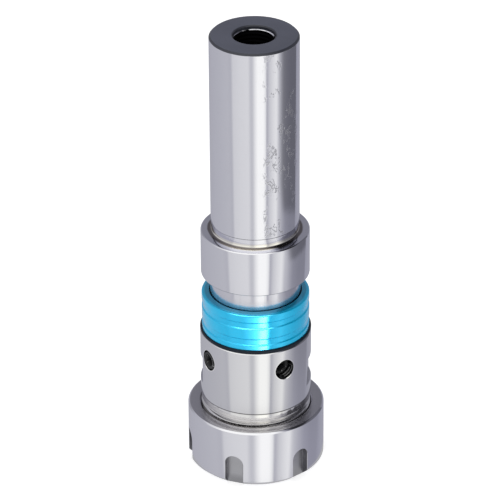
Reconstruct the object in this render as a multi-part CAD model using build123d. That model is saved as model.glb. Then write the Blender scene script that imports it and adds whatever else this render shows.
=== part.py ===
from build123d import *
import math
import os

# Floating tapping chuck with a plain round shank and a collet head. Millimetres, +Z up along the
# axis, standing on the foot of its nut at z = 0. Clock angles run from +X towards +Y, in degrees.

# Outside lengths, in order from the nut's foot upwards
nut_length = 23.3
bare_thread = 2.55
band_length = 2.7
barrel_length = 25.5
o_ring_height = 1.3
sleeve_length = 14.9
float_room = 7.7
collar_length = 17.3
relief_length = 3.5
shank_length = 73.2

# Outside diameters, and the small steps in radius that set the others off from them
nut_diameter = 50.0
shank_diameter = 32.0
band_step = 0.52
barrel_step = 0.25
sleeve_step = 0.65
collar_step = 0.55
relief_depth = 0.3

# Float: how far the head goes up into the shank and comes down out of it
float_stop_gap = 0.7
extension_travel = 7.0

# Clearances
press_clearance = 0.02
running_clearance = 0.05
loose_clearance = 0.25
end_clearance = 0.3
stroke_clearance = 0.5

# Edges
fine_chamfer = 0.4
edge_chamfer = 0.7
shank_end_chamfer = 1.0
relief_fillet = 1.0

# Rear hole, tapped at its mouth, and the land between the two springs
rear_thread_diameter = 14.0
rear_thread_length = 11.5
rear_mouth_chamfer = 1.0
spring_bore_diameter = 13.6
land_height = 4.5
bolt_diameter = 8.0

# Clamping nut
nut_wall = 5.52
nut_lip_height = 1.8
nut_foot_chamfer = 2.4
nut_countersink = 1.2
slot_count = 6
slot_width = 6.8
slot_height = 12.7
slot_depth = 2.7
slot_clock = -45.3
nut_thread_relief = 0.6
thrust_ring_hold = 0.25
thrust_ring_step = 1.03
thrust_ring_width = 4.05
thrust_ring_height = 5.8
thrust_cone_angle = 30.0
socket_face_gap = 1.4

# Collet socket and the chamber for the square of the tap
socket_wall = 3.48
socket_half_angle = 8.0
socket_depth = 31.0
thread_start_chamfer = 1.0
chamber_diameter = 21.0
chamber_end_gap = 0.5

# Four side screws that hold the square of the tap, by their drop below the barrel's top edge
screw_drop = 8.2
screw_diameter = 8.0
screw_length = 8.0
screw_hex = 4.0
screw_hex_depth = 4.0
screw_point_depth = 0.8
screw_mouth_chamfer = 0.25
screw_clocks = {"left": 215.5, "right": -54.5, "back_left": 125.5, "back_right": 35.5}
left_screw_sink = 0.65
right_screw_sink = 3.25
back_left_screw_sink = 1.85
back_right_screw_sink = 1.35

# Two wrench flats of the barrel
flat_depth = 1.25
flats_height = 10.5
flats_bottom_gap = 5.0

# Spigot that carries the cover sleeve, and the pocket that the neck tube dips into
o_ring_seat = 2.15
spigot_wall = 1.2
pocket_clearance = 0.4
neck_wall = 2.5
pocket_web = 1.3
spigot_height = 11.6
o_ring_swell = 0.05
seal_height = 2.1
seal_clearance = 0.1
seal_lip_thickness = 0.3
seal_lip_reach = 0.4
seal_valley_depth = 1.2
sleeve_lip_gap = 1.0
sleeve_groove_depth = 0.45
sleeve_groove_flank = 0.45
sleeve_groove_width = 2.4
upper_groove_drop = 2.8
lower_groove_drop = 10.3

# Floating spindle, ball guide and front bush
bush_wall = 4.5
spindle_base_gap = 0.5
spindle_base_height = 2.4
spindle_cone_height = 2.0
bush_length = 5.5
circlip_thickness = 1.2
circlip_groove_depth = 0.9
circlip_width = 2.2
circlip_opening = 34.0
circlip_ear_radius = 1.7
circlip_ear_hole = 0.7
guide_gap = 2.5
ball_diameter = 5.0
ball_clearance = 0.1
ball_lines = 4
ball_rows = 3
ball_pitch = 6.0
ball_clock = 0.0
cage_edge = 2.5
guide_collar_height = 4.0

# Springs with one closed turn at each end, their seats and the limit bolt
compression_length = 18.0
compression_wire = 2.0
compression_turns = 3.5
tension_length = 18.0
tension_wire = 1.6
tension_turns = 4.5
closed_turn_gap = 0.1
points_per_turn = 12
spring_side_gap = 0.6
seat_height = 1.4
bolt_washer_height = 1.6
bolt_head_diameter = 13.0
bolt_head_height = 8.0
bolt_length = 65.0
bolt_hex = 6.0
bolt_hex_depth = 4.0
bolt_hole_spare = 2.0

# Heights of the outside
thread_top = nut_length + bare_thread
barrel_bottom = thread_top + band_length
barrel_top = barrel_bottom + barrel_length
sleeve_bottom = barrel_top + o_ring_height
sleeve_top = sleeve_bottom + sleeve_length
collar_bottom = sleeve_top + float_room
collar_top = collar_bottom + collar_length
shank_bottom = collar_top + relief_length
shank_top = shank_bottom + shank_length
compression_travel = float_room - float_stop_gap

# Heights of the head's inside
thrust_ring_bottom = nut_lip_height + running_clearance
thrust_ring_top = thrust_ring_bottom + thrust_ring_height
socket_face = thrust_ring_top + socket_face_gap
socket_end = socket_face + socket_depth
screw_height = barrel_top - screw_drop
chamber_top = screw_height + screw_diameter / 2 + chamber_end_gap
pocket_floor = screw_height + screw_diameter / 2 + pocket_web
base_shoulder = pocket_floor + spindle_base_height
base_top = base_shoulder + spindle_cone_height
spigot_top = barrel_top + spigot_height
seal_top = spigot_top + seal_height

# Heights of the shank's inside, with the head at rest
neck_end = pocket_floor + compression_travel + end_clearance
circlip_bottom = base_top + compression_travel + stroke_clearance
bush_bottom = circlip_bottom + circlip_thickness
bush_top = bush_bottom + bush_length
cage_bottom = bush_top + end_clearance + extension_travel / 2
cage_height = (ball_rows - 1) * ball_pitch + 2 * cage_edge
cage_top = cage_bottom + cage_height
spindle_top = cage_top + max(extension_travel, compression_travel) / 2 + stroke_clearance
collar_seat = spindle_top + guide_collar_height
compression_seat_bottom = collar_seat + compression_length
land_bottom = compression_seat_bottom + seat_height
land_top = land_bottom + land_height
tension_seat_top = land_top + seat_height
bolt_washer_bottom = tension_seat_top + tension_length
bolt_head_bottom = bolt_washer_bottom + bolt_washer_height

# Radii that more than one piece shares
nut_radius = nut_diameter / 2
thread_pitch_radius = nut_radius - nut_wall
thrust_ring_radius = thread_pitch_radius - thrust_ring_step
nut_mouth_radius = thrust_ring_radius - thrust_ring_width
band_radius = thread_pitch_radius + band_step
barrel_radius = band_radius + barrel_step
spigot_radius = barrel_radius - o_ring_seat
pocket_radius = spigot_radius - spigot_wall
neck_radius = pocket_radius - pocket_clearance
bush_bore_radius = neck_radius - neck_wall
spindle_radius = bush_bore_radius - bush_wall
guide_radius = spindle_radius + guide_gap
ball_circle = (spindle_radius + guide_radius) / 2
groove_radius = ball_diameter / 2 + ball_clearance
bolt_radius = bolt_diameter / 2
screw_radius = screw_diameter / 2
spring_bore_radius = spring_bore_diameter / 2


def turned(*corners):
    """A piece turned about Z, from the (radius, height) corners of its half section."""
    outline = Polyline(*[(radius, 0, height) for radius, height in corners], close=True)
    return revolve(make_face(outline), Axis.Z)


def ring(inner, outer, bottom, top, chamfer=0.0):
    """A flat ring or bush, with its two outer edges chamfered."""
    if chamfer == 0.0:
        return turned((inner, bottom), (outer, bottom), (outer, top), (inner, top))
    return turned(
        (inner, bottom),
        (outer - chamfer, bottom),
        (outer, bottom + chamfer),
        (outer, top - chamfer),
        (outer - chamfer, top),
        (inner, top),
    )


def across(shape, clock, reach, height):
    """Lay a shape that stands on its origin across the axis, its foot at the given reach."""
    return Rot(0, 0, clock) * Pos(reach, 0, height) * Rot(0, 90, 0) * shape


def standing_cylinder(radius, height):
    """A cylinder that stands on its origin."""
    return Cylinder(radius, height, align=(Align.CENTER, Align.CENTER, Align.MIN))


def standing_cone(bottom_radius, top_radius, height):
    """A cone that stands on its origin."""
    return Cone(bottom_radius, top_radius, height, align=(Align.CENTER, Align.CENTER, Align.MIN))


def hex_socket(across_flats, depth):
    """The tool for a hexagon socket that starts at its origin and goes down."""
    corner_radius = across_flats / math.sqrt(3)
    return extrude(RegularPolygon(corner_radius, 6), -depth)


def ball_grooves(bottom, top):
    """The round grooves that the balls run in, cut half in the spindle and half in the bore."""
    groove = Pos(ball_circle, 0, bottom) * standing_cylinder(groove_radius, top - bottom)
    return [Rot(0, 0, ball_clock + line * 360 / ball_lines) * groove for line in range(ball_lines)]


def coil(mean_radius, wire, turns, bottom, top):
    """A spring of round wire between two heights, its end turns closed and ground flat."""
    foot = bottom + press_clearance
    length = top - bottom - 2 * press_clearance
    tip_sink = wire / 4
    closed_climb = wire + closed_turn_gap
    pitch = (length + 2 * tip_sink - 2 * closed_climb) / turns
    line = []
    for count in range(round((turns + 2) * points_per_turn) + 1):
        turn = count / points_per_turn
        open_turns = min(max(turn - 1, 0), turns)
        height = foot - tip_sink + pitch * open_turns + closed_climb * (turn - open_turns)
        clock = 2 * math.pi * turn
        line.append((mean_radius * math.cos(clock), mean_radius * math.sin(clock), height))
    path = Spline(*line)
    section = Plane(origin=path @ 0, z_dir=path % 0) * Circle(wire / 2)
    wound = sweep(section, path=path, is_frenet=True)
    return wound & Pos(0, 0, foot) * standing_cylinder(mean_radius + wire, length)


def shank_body():
    """Ground shank, relief, collar and neck tube in one, bored for the float."""
    collar_radius = barrel_radius - collar_step
    shank_radius = shank_diameter / 2
    relief_radius = shank_radius - relief_depth
    body = turned(
        (0, neck_end),
        (neck_radius - fine_chamfer, neck_end),
        (neck_radius, neck_end + fine_chamfer),
        (neck_radius, collar_bottom),
        (collar_radius, collar_bottom),
        (collar_radius, collar_top - fine_chamfer),
        (collar_radius - fine_chamfer, collar_top),
        (relief_radius, collar_top),
        (relief_radius, shank_bottom),
        (shank_radius, shank_bottom),
        (shank_radius, shank_top - shank_end_chamfer),
        (shank_radius - shank_end_chamfer, shank_top),
        (0, shank_top),
    )
    corner = body.edges().filter_by(GeomType.CIRCLE).filter_by(
        lambda edge: abs(edge.radius - relief_radius) < 1e-6 and abs(edge.center().Z - collar_top) < 1e-6
    )
    body = fillet(corner, relief_fillet)
    groove_reach = bush_bore_radius + circlip_groove_depth
    body -= turned(
        (0, neck_end),
        (bush_bore_radius + fine_chamfer, neck_end),
        (bush_bore_radius, neck_end + fine_chamfer),
        (bush_bore_radius, circlip_bottom),
        (groove_reach, circlip_bottom),
        (groove_reach, bush_bottom),
        (bush_bore_radius, bush_bottom),
        (bush_bore_radius, bush_top),
        (guide_radius, bush_top),
        (guide_radius, land_bottom),
        (0, land_bottom),
    )
    thread_radius = rear_thread_diameter / 2
    mouth_bottom = shank_top - rear_mouth_chamfer
    thread_bottom = mouth_bottom - rear_thread_length
    body -= turned(
        (0, land_top),
        (spring_bore_radius, land_top),
        (spring_bore_radius, thread_bottom),
        (thread_radius, thread_bottom),
        (thread_radius, mouth_bottom),
        (thread_radius + rear_mouth_chamfer, shank_top),
        (0, shank_top),
    )
    body -= Pos(0, 0, land_bottom) * standing_cylinder(bolt_radius + running_clearance, land_height)
    for groove in ball_grooves(bush_top - press_clearance, spindle_top):
        body -= groove
    return body


def chuck_body():
    """Collet socket, barrel, spigot and floating spindle, machined from one bar."""
    socket_radius = thread_pitch_radius - socket_wall
    socket_end_radius = socket_radius - socket_depth * math.tan(math.radians(socket_half_angle))
    chamber_radius = chamber_diameter / 2
    base_radius = bush_bore_radius - spindle_base_gap
    body = turned(
        (socket_radius, socket_face),
        (thread_pitch_radius - thread_start_chamfer, socket_face),
        (thread_pitch_radius, socket_face + thread_start_chamfer),
        (thread_pitch_radius, thread_top),
        (band_radius, thread_top),
        (band_radius, barrel_bottom),
        (barrel_radius, barrel_bottom),
        (barrel_radius, barrel_top - fine_chamfer),
        (barrel_radius - fine_chamfer, barrel_top),
        (spigot_radius, barrel_top),
        (spigot_radius, spigot_top),
        (pocket_radius, spigot_top),
        (pocket_radius, pocket_floor),
        (base_radius, pocket_floor),
        (base_radius, base_shoulder),
        (spindle_radius, base_top),
        (spindle_radius, spindle_top - fine_chamfer),
        (spindle_radius - fine_chamfer, spindle_top),
        (0, spindle_top),
        (0, chamber_top),
        (chamber_radius, chamber_top),
        (chamber_radius, socket_end),
        (socket_end_radius, socket_end),
    )
    bolt_end = bolt_head_bottom - bolt_length
    hole_bottom = bolt_end - bolt_hole_spare
    hole = standing_cylinder(bolt_radius + running_clearance, spindle_top - hole_bottom)
    body -= Pos(0, 0, hole_bottom) * hole
    for groove in ball_grooves(bush_top, spindle_top):
        body -= groove
    for clock in screw_clocks.values():
        body -= across(standing_cylinder(screw_radius, barrel_radius), clock, screw_radius, screw_height)
        mouth = standing_cone(screw_radius, screw_radius + screw_mouth_chamfer, screw_mouth_chamfer)
        body -= across(mouth, clock, barrel_radius - screw_mouth_chamfer, screw_height)
    flat_height = barrel_bottom + flats_bottom_gap + flats_height / 2
    for side in (-1, 1):
        block = Box(2 * flat_depth, 2 * nut_radius, flats_height)
        body -= Pos(side * barrel_radius, 0, flat_height) * block
    return body


def set_screw(clock, sink):
    """Hexagon socket set screw with a cup point, sunk by its own amount in its tapped hole."""
    radius = screw_radius - running_clearance
    point_radius = radius - screw_point_depth
    screw = turned(
        (0, screw_point_depth),
        (point_radius - screw_point_depth, screw_point_depth),
        (point_radius, 0),
        (radius, screw_point_depth),
        (radius, screw_length - fine_chamfer),
        (radius - fine_chamfer, screw_length),
        (0, screw_length),
    )
    screw -= Pos(0, 0, screw_length) * hex_socket(screw_hex, screw_hex_depth)
    return across(screw, clock, barrel_radius - sink - screw_length, screw_height)


def clamping_nut():
    """Slotted nut: spanner slots, thread, and the seat and rolled edge that hold its thrust ring."""
    seat_radius = thrust_ring_radius + running_clearance
    thread_radius = thread_pitch_radius + running_clearance
    hold_radius = thrust_ring_radius - thrust_ring_hold
    hold_bottom = thrust_ring_top + running_clearance
    thread_bottom = hold_bottom + nut_thread_relief
    nut = turned(
        (nut_mouth_radius, 0),
        (nut_radius - nut_foot_chamfer, 0),
        (nut_radius, nut_foot_chamfer),
        (nut_radius, nut_length - edge_chamfer),
        (nut_radius - edge_chamfer, nut_length),
        (thread_radius + nut_countersink, nut_length),
        (thread_radius, nut_length - nut_countersink),
        (thread_radius, thread_bottom),
        (hold_radius, thread_bottom),
        (hold_radius, hold_bottom),
        (seat_radius, hold_bottom),
        (seat_radius, nut_lip_height),
        (nut_mouth_radius, nut_lip_height),
    )
    straight = slot_height - slot_width / 2
    slot = Pos(nut_radius, 0, straight / 2) * Box(2 * slot_depth, slot_width, straight)
    round_end = standing_cylinder(slot_width / 2, 2 * slot_depth)
    slot += across(round_end, 0, nut_radius - slot_depth, straight)
    for count in range(slot_count):
        nut -= Rot(0, 0, slot_clock + count * 360 / slot_count) * slot
    return nut


def nut_thrust_ring():
    """Ring with the cone that presses on the collet."""
    mouth = nut_mouth_radius - fine_chamfer
    cone_top = mouth + thrust_ring_height * math.tan(math.radians(thrust_cone_angle))
    return turned(
        (mouth, thrust_ring_bottom),
        (thrust_ring_radius, thrust_ring_bottom),
        (thrust_ring_radius, thrust_ring_top),
        (cone_top, thrust_ring_top),
    )


def cover_sleeve():
    """Turned cover ring with a lip over the seal and two shallow grooves round it."""
    outer = barrel_radius - sleeve_step
    bore = spigot_radius + press_clearance
    lip = neck_radius + sleeve_lip_gap
    sleeve = turned(
        (bore, sleeve_bottom),
        (outer - fine_chamfer, sleeve_bottom),
        (outer, sleeve_bottom + fine_chamfer),
        (outer, sleeve_top - fine_chamfer),
        (outer - fine_chamfer, sleeve_top),
        (lip + fine_chamfer, sleeve_top),
        (lip, sleeve_top - fine_chamfer),
        (lip, seal_top),
        (bore, seal_top),
    )
    for drop in (upper_groove_drop, lower_groove_drop):
        groove_top = sleeve_top - drop
        groove_bottom = groove_top - sleeve_groove_width
        sleeve -= turned(
            (outer, groove_top),
            (outer - sleeve_groove_depth, groove_top - sleeve_groove_flank),
            (outer - sleeve_groove_depth, groove_bottom + sleeve_groove_flank),
            (outer, groove_bottom),
            (outer + sleeve_groove_depth, groove_bottom),
            (outer + sleeve_groove_depth, groove_top),
        )
    return sleeve


def body_o_ring():
    """Ring of round cord, squeezed flat between the barrel and the sleeve."""
    inner = spigot_radius + press_clearance
    outer = barrel_radius + o_ring_swell
    middle = barrel_top + o_ring_height / 2
    bulge = o_ring_height / 2
    top = barrel_top + o_ring_height
    low = Line((inner, 0, barrel_top), (outer - bulge, 0, barrel_top))
    round_side = ThreePointArc((outer - bulge, 0, barrel_top), (outer, 0, middle), (outer - bulge, 0, top))
    high = Line((outer - bulge, 0, top), (inner, 0, top))
    inside = Line((inner, 0, top), (inner, 0, barrel_top))
    return revolve(make_face([low, round_side, high, inside]), Axis.Z)


def wiper_seal():
    """Soft ring between the spigot and the sleeve's lip, with a thin lip that leans on the neck."""
    tip = neck_radius + seal_clearance
    root = tip + seal_lip_reach
    bottom = spigot_top + press_clearance
    top = seal_top - press_clearance
    valley = top - seal_valley_depth
    return turned(
        (root, bottom),
        (spigot_radius, bottom),
        (spigot_radius, top),
        (root + 2 * seal_lip_thickness, top),
        (root + seal_lip_thickness, valley),
        (tip + seal_lip_thickness, top),
        (tip, top),
        (root, valley),
    )


def front_guide_bush():
    """Plain bush that guides the spindle in the neck tube."""
    inner = spindle_radius + running_clearance
    outer = bush_bore_radius - press_clearance
    return ring(inner, outer, bush_bottom, bush_top, fine_chamfer)


def bush_circlip():
    """Internal retaining ring: an open ring with an ear and a hole at each end."""
    outer = bush_bore_radius + circlip_groove_depth - loose_clearance
    inner = outer - circlip_width
    thickness = circlip_thickness - 2 * running_clearance
    bottom = circlip_bottom + running_clearance
    clip = ring(inner, outer, bottom, bottom + thickness)
    half_opening = math.radians(circlip_opening / 2)
    reach = 2 * outer
    far = (reach * math.cos(half_opening), reach * math.sin(half_opening))
    wedge = make_face(Polyline((0, 0), far, (far[0], -far[1]), close=True))
    clip -= Pos(0, 0, bottom) * extrude(wedge, thickness)
    ear_circle = bush_bore_radius - circlip_ear_radius - loose_clearance
    for side in (-1, 1):
        ear_angle = side * (circlip_opening / 2 + math.degrees(circlip_ear_radius / ear_circle))
        ear = standing_cylinder(circlip_ear_radius, thickness)
        ear -= standing_cylinder(circlip_ear_hole, thickness)
        clip += Rot(0, 0, ear_angle) * Pos(ear_circle, 0, bottom) * ear
    for side in (-1, 1):
        ear_angle = side * (circlip_opening / 2 + math.degrees(circlip_ear_radius / ear_circle))
        hole = standing_cylinder(circlip_ear_hole, thickness)
        clip -= Rot(0, 0, ear_angle) * Pos(ear_circle, 0, bottom) * hole
    return clip


def ball_places():
    """Every ball's clock angle and height."""
    for line in range(ball_lines):
        for row in range(ball_rows):
            yield ball_clock + line * 360 / ball_lines, cage_bottom + cage_edge + row * ball_pitch


def ball_cage():
    """Thin tube with a round pocket for every ball."""
    cage = ring(spindle_radius + loose_clearance, guide_radius - loose_clearance, cage_bottom, cage_top)
    for clock, height in ball_places():
        pocket = standing_cylinder(ball_diameter / 2 + ball_clearance, ball_diameter)
        cage -= across(pocket, clock, ball_circle - ball_diameter / 2, height)
    return cage


def torque_balls():
    """The balls, each a solid of its own."""
    ball = Sphere(ball_diameter / 2)
    return Compound(
        [Rot(0, 0, clock) * Pos(ball_circle, 0, height) * ball for clock, height in ball_places()]
    )


def spindle_guide_collar():
    """Collar on the spindle's end that runs in the bore and carries the compression spring."""
    inner = bolt_radius + running_clearance
    return ring(inner, guide_radius - running_clearance, spindle_top, collar_seat, fine_chamfer)


def compression_spring():
    """Spring that gives when the head is pushed up."""
    mean_radius = guide_radius - spring_side_gap - compression_wire / 2
    return coil(mean_radius, compression_wire, compression_turns, collar_seat, compression_seat_bottom)


def compression_spring_seat():
    """Hard washer under the land."""
    inner = bolt_radius + loose_clearance
    outer = guide_radius - running_clearance
    return ring(inner, outer, compression_seat_bottom, land_bottom)


def tension_spring_seat():
    """Hard washer on top of the land."""
    inner = bolt_radius + loose_clearance
    outer = spring_bore_radius - running_clearance
    return ring(inner, outer, land_top, tension_seat_top)


def tension_spring():
    """Spring that gives when the head is drawn down."""
    mean_radius = spring_bore_radius - spring_side_gap - tension_wire / 2
    return coil(mean_radius, tension_wire, tension_turns, tension_seat_top, bolt_washer_bottom)


def bolt_washer():
    """Washer under the bolt's head, the moving seat of the tension spring."""
    inner = bolt_radius + running_clearance
    outer = spring_bore_radius - loose_clearance
    return ring(inner, outer, bolt_washer_bottom, bolt_head_bottom)


def limit_bolt():
    """Socket head cap screw through both springs into the spindle."""
    head_radius = bolt_head_diameter / 2
    head_top = bolt_head_bottom + bolt_head_height
    end = bolt_head_bottom - bolt_length
    bolt = turned(
        (0, end),
        (bolt_radius - edge_chamfer, end),
        (bolt_radius, end + edge_chamfer),
        (bolt_radius, bolt_head_bottom),
        (head_radius, bolt_head_bottom),
        (head_radius, head_top - fine_chamfer),
        (head_radius - fine_chamfer, head_top),
        (0, head_top),
    )
    return bolt - Pos(0, 0, head_top) * hex_socket(bolt_hex, bolt_hex_depth)


pieces = {
    "shank_body": shank_body(),
    "chuck_body": chuck_body(),
    "clamping_nut": clamping_nut(),
    "nut_thrust_ring": nut_thrust_ring(),
    "cover_sleeve": cover_sleeve(),
    "body_o_ring": body_o_ring(),
    "wiper_seal": wiper_seal(),
    "front_guide_bush": front_guide_bush(),
    "bush_circlip": bush_circlip(),
    "ball_cage": ball_cage(),
    "torque_balls": torque_balls(),
    "spindle_guide_collar": spindle_guide_collar(),
    "compression_spring": compression_spring(),
    "compression_spring_seat": compression_spring_seat(),
    "tension_spring": tension_spring(),
    "tension_spring_seat": tension_spring_seat(),
    "bolt_washer": bolt_washer(),
    "limit_bolt": limit_bolt(),
}
screw_sinks = {
    "left": left_screw_sink,
    "right": right_screw_sink,
    "back_left": back_left_screw_sink,
    "back_right": back_right_screw_sink,
}
for screw_name, screw_sink in screw_sinks.items():
    pieces["set_screw_" + screw_name] = set_screw(screw_clocks[screw_name], screw_sink)

os.makedirs("parts", exist_ok=True)
for piece_name, piece in pieces.items():
    export_step(piece, "parts/" + piece_name + ".step")
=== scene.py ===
"""Looks of the floating tapping chuck: turned pieces, threads, finishes, studio and camera."""
import logging
import math
from dataclasses import dataclass
from enum import Enum
from typing import Iterable, Optional, Sequence, Union

import bmesh
import bpy
from mathutils import Matrix, Vector

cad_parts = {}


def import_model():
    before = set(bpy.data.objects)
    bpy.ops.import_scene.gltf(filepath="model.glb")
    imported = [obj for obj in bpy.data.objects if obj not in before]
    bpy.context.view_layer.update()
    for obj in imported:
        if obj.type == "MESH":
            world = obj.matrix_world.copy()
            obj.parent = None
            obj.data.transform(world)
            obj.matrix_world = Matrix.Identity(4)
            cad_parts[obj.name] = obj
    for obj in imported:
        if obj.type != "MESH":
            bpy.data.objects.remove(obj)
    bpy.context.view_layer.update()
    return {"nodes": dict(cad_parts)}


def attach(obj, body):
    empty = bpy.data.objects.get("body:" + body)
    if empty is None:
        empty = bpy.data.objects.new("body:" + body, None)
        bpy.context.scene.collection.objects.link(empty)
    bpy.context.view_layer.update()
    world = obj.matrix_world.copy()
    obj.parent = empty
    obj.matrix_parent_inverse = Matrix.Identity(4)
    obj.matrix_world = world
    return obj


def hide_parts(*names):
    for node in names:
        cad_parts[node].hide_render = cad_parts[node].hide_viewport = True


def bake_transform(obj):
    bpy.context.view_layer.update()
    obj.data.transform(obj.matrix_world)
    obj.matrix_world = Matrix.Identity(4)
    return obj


log = logging.getLogger("tapping_chuck")

MM = 0.001
ROUND_STEPS = 256
SMALL_ROUND_STEPS = 96
EASE_STEPS = 4
SCREEN_STEPS = 24
SMOOTH_ANGLE = math.radians(32)
MERGE_REACH = 1e-7

Colour = tuple[float, float, float]
ColourInput = Union[Colour, bpy.types.NodeSocket]
Number = Union[int, float]


class Slot(Enum):
    """Material slots of the record that the finishes belong to."""

    GROUND_STEEL = "ground_steel"
    TURNED_STEEL = "turned_steel"
    NUT_STEEL = "nut_steel"
    BLUE_ANODISED = "blue_anodised"
    BLACK_RUBBER = "black_rubber"
    BRONZE = "bronze"
    CAGE_BRASS = "cage_brass"
    BALL_STEEL = "ball_steel"
    SPRING_STEEL = "spring_steel"
    HARD_WASHER = "hard_washer"
    BLACK_OXIDE = "black_oxide"


class Value:
    """A number socket that takes part in Python expressions by adding Math nodes."""

    def __init__(self, nodes: "Nodes", socket: bpy.types.NodeSocket) -> None:
        """Wrap one output socket of a tree."""
        self.nodes = nodes
        self.socket = socket

    def math(self, operation: str, *others: Union["Value", Number]) -> "Value":
        """Put this value through a Math node.

        Args:
            operation: The Math node's operation.
            others: Its second and third inputs.

        Returns:
            The node's result.
        """
        sockets = dict(enumerate((self, *others)))
        node = self.nodes.add("ShaderNodeMath", {"operation": operation}, sockets)
        return Value(self.nodes, node.outputs[0])

    def __add__(self, other: Union["Value", Number]) -> "Value":
        """Add a number or value."""
        return self.math("ADD", other)

    __radd__ = __add__

    def __mul__(self, other: Union["Value", Number]) -> "Value":
        """Multiply by a number or value."""
        return self.math("MULTIPLY", other)

    __rmul__ = __mul__

    def __sub__(self, other: Union["Value", Number]) -> "Value":
        """Take away a number or value."""
        return self.math("SUBTRACT", other)

    def __rsub__(self, other: Number) -> "Value":
        """Take this value away from a number."""
        return self.math("MULTIPLY", -1).math("ADD", other)

    def __truediv__(self, other: Union["Value", Number]) -> "Value":
        """Divide by a number or value."""
        return self.math("DIVIDE", other)

    def between(self, low: Number, high: Number) -> "Value":
        """Rise smoothly from 0 at low to 1 at high."""
        settings = {"interpolation_type": "SMOOTHSTEP", "clamp": True}
        sockets = {0: self, 1: low, 2: high, 3: 0.0, 4: 1.0}
        return Value(self.nodes, self.nodes.add("ShaderNodeMapRange", settings, sockets).outputs[0])


class Nodes:
    """A node tree that is built from calls in reading order."""

    def __init__(self, tree: bpy.types.NodeTree) -> None:
        """Take over a tree."""
        self.tree = tree

    def add(
        self,
        kind: str,
        settings: Optional[dict[str, object]] = None,
        sockets: Optional[dict[Union[int, str], object]] = None,
    ) -> bpy.types.Node:
        """Add one node.

        Args:
            kind: The node's type name.
            settings: Its properties, set first. "stops" gives a ramp's (place, colour) stops.
            sockets: Values or links of its inputs, by number or name.

        Returns:
            The new node.
        """
        node = self.tree.nodes.new(kind)
        for name, setting in (settings or {}).items():
            if name == "stops":
                self._set_stops(node, setting)
            else:
                setattr(node, name, setting)
        for key, given in (sockets or {}).items():
            socket = node.inputs[key]
            if isinstance(given, Value):
                given = given.socket
            if isinstance(given, bpy.types.NodeSocket):
                self.tree.links.new(given, socket)
            else:
                socket.default_value = given
        return node

    @staticmethod
    def _set_stops(node: bpy.types.Node, stops: Sequence[tuple[float, Colour]]) -> None:
        """Give a Color Ramp its stops, in rising order."""
        elements = node.color_ramp.elements
        while len(elements) > 1:
            elements.remove(elements[-1])
        for number, (place, colour) in enumerate(stops):
            element = elements[0] if number == 0 else elements.new(place)
            element.position = place
            element.color = (*colour, 1.0)

    def value(self, socket: bpy.types.NodeSocket) -> Value:
        """Wrap a number socket."""
        return Value(self, socket)

    def mix(
        self, factor: Union[Value, bpy.types.NodeSocket], first: ColourInput, second: ColourInput
    ) -> bpy.types.NodeSocket:
        """Mix two colours."""
        ends = [(*end, 1.0) if isinstance(end, tuple) else end for end in (first, second)]
        settings = {"data_type": "RGBA", "clamp_factor": True}
        return self.add("ShaderNodeMix", settings, {0: factor, 6: ends[0], 7: ends[1]}).outputs[2]

    def scaled(self, colour: bpy.types.NodeSocket, factor: Union[Value, Number]) -> bpy.types.NodeSocket:
        """A colour made brighter or darker, which may pass 1."""
        sockets = {0: colour, "Scale": factor}
        return self.add("ShaderNodeVectorMath", {"operation": "SCALE"}, sockets).outputs[0]


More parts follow.
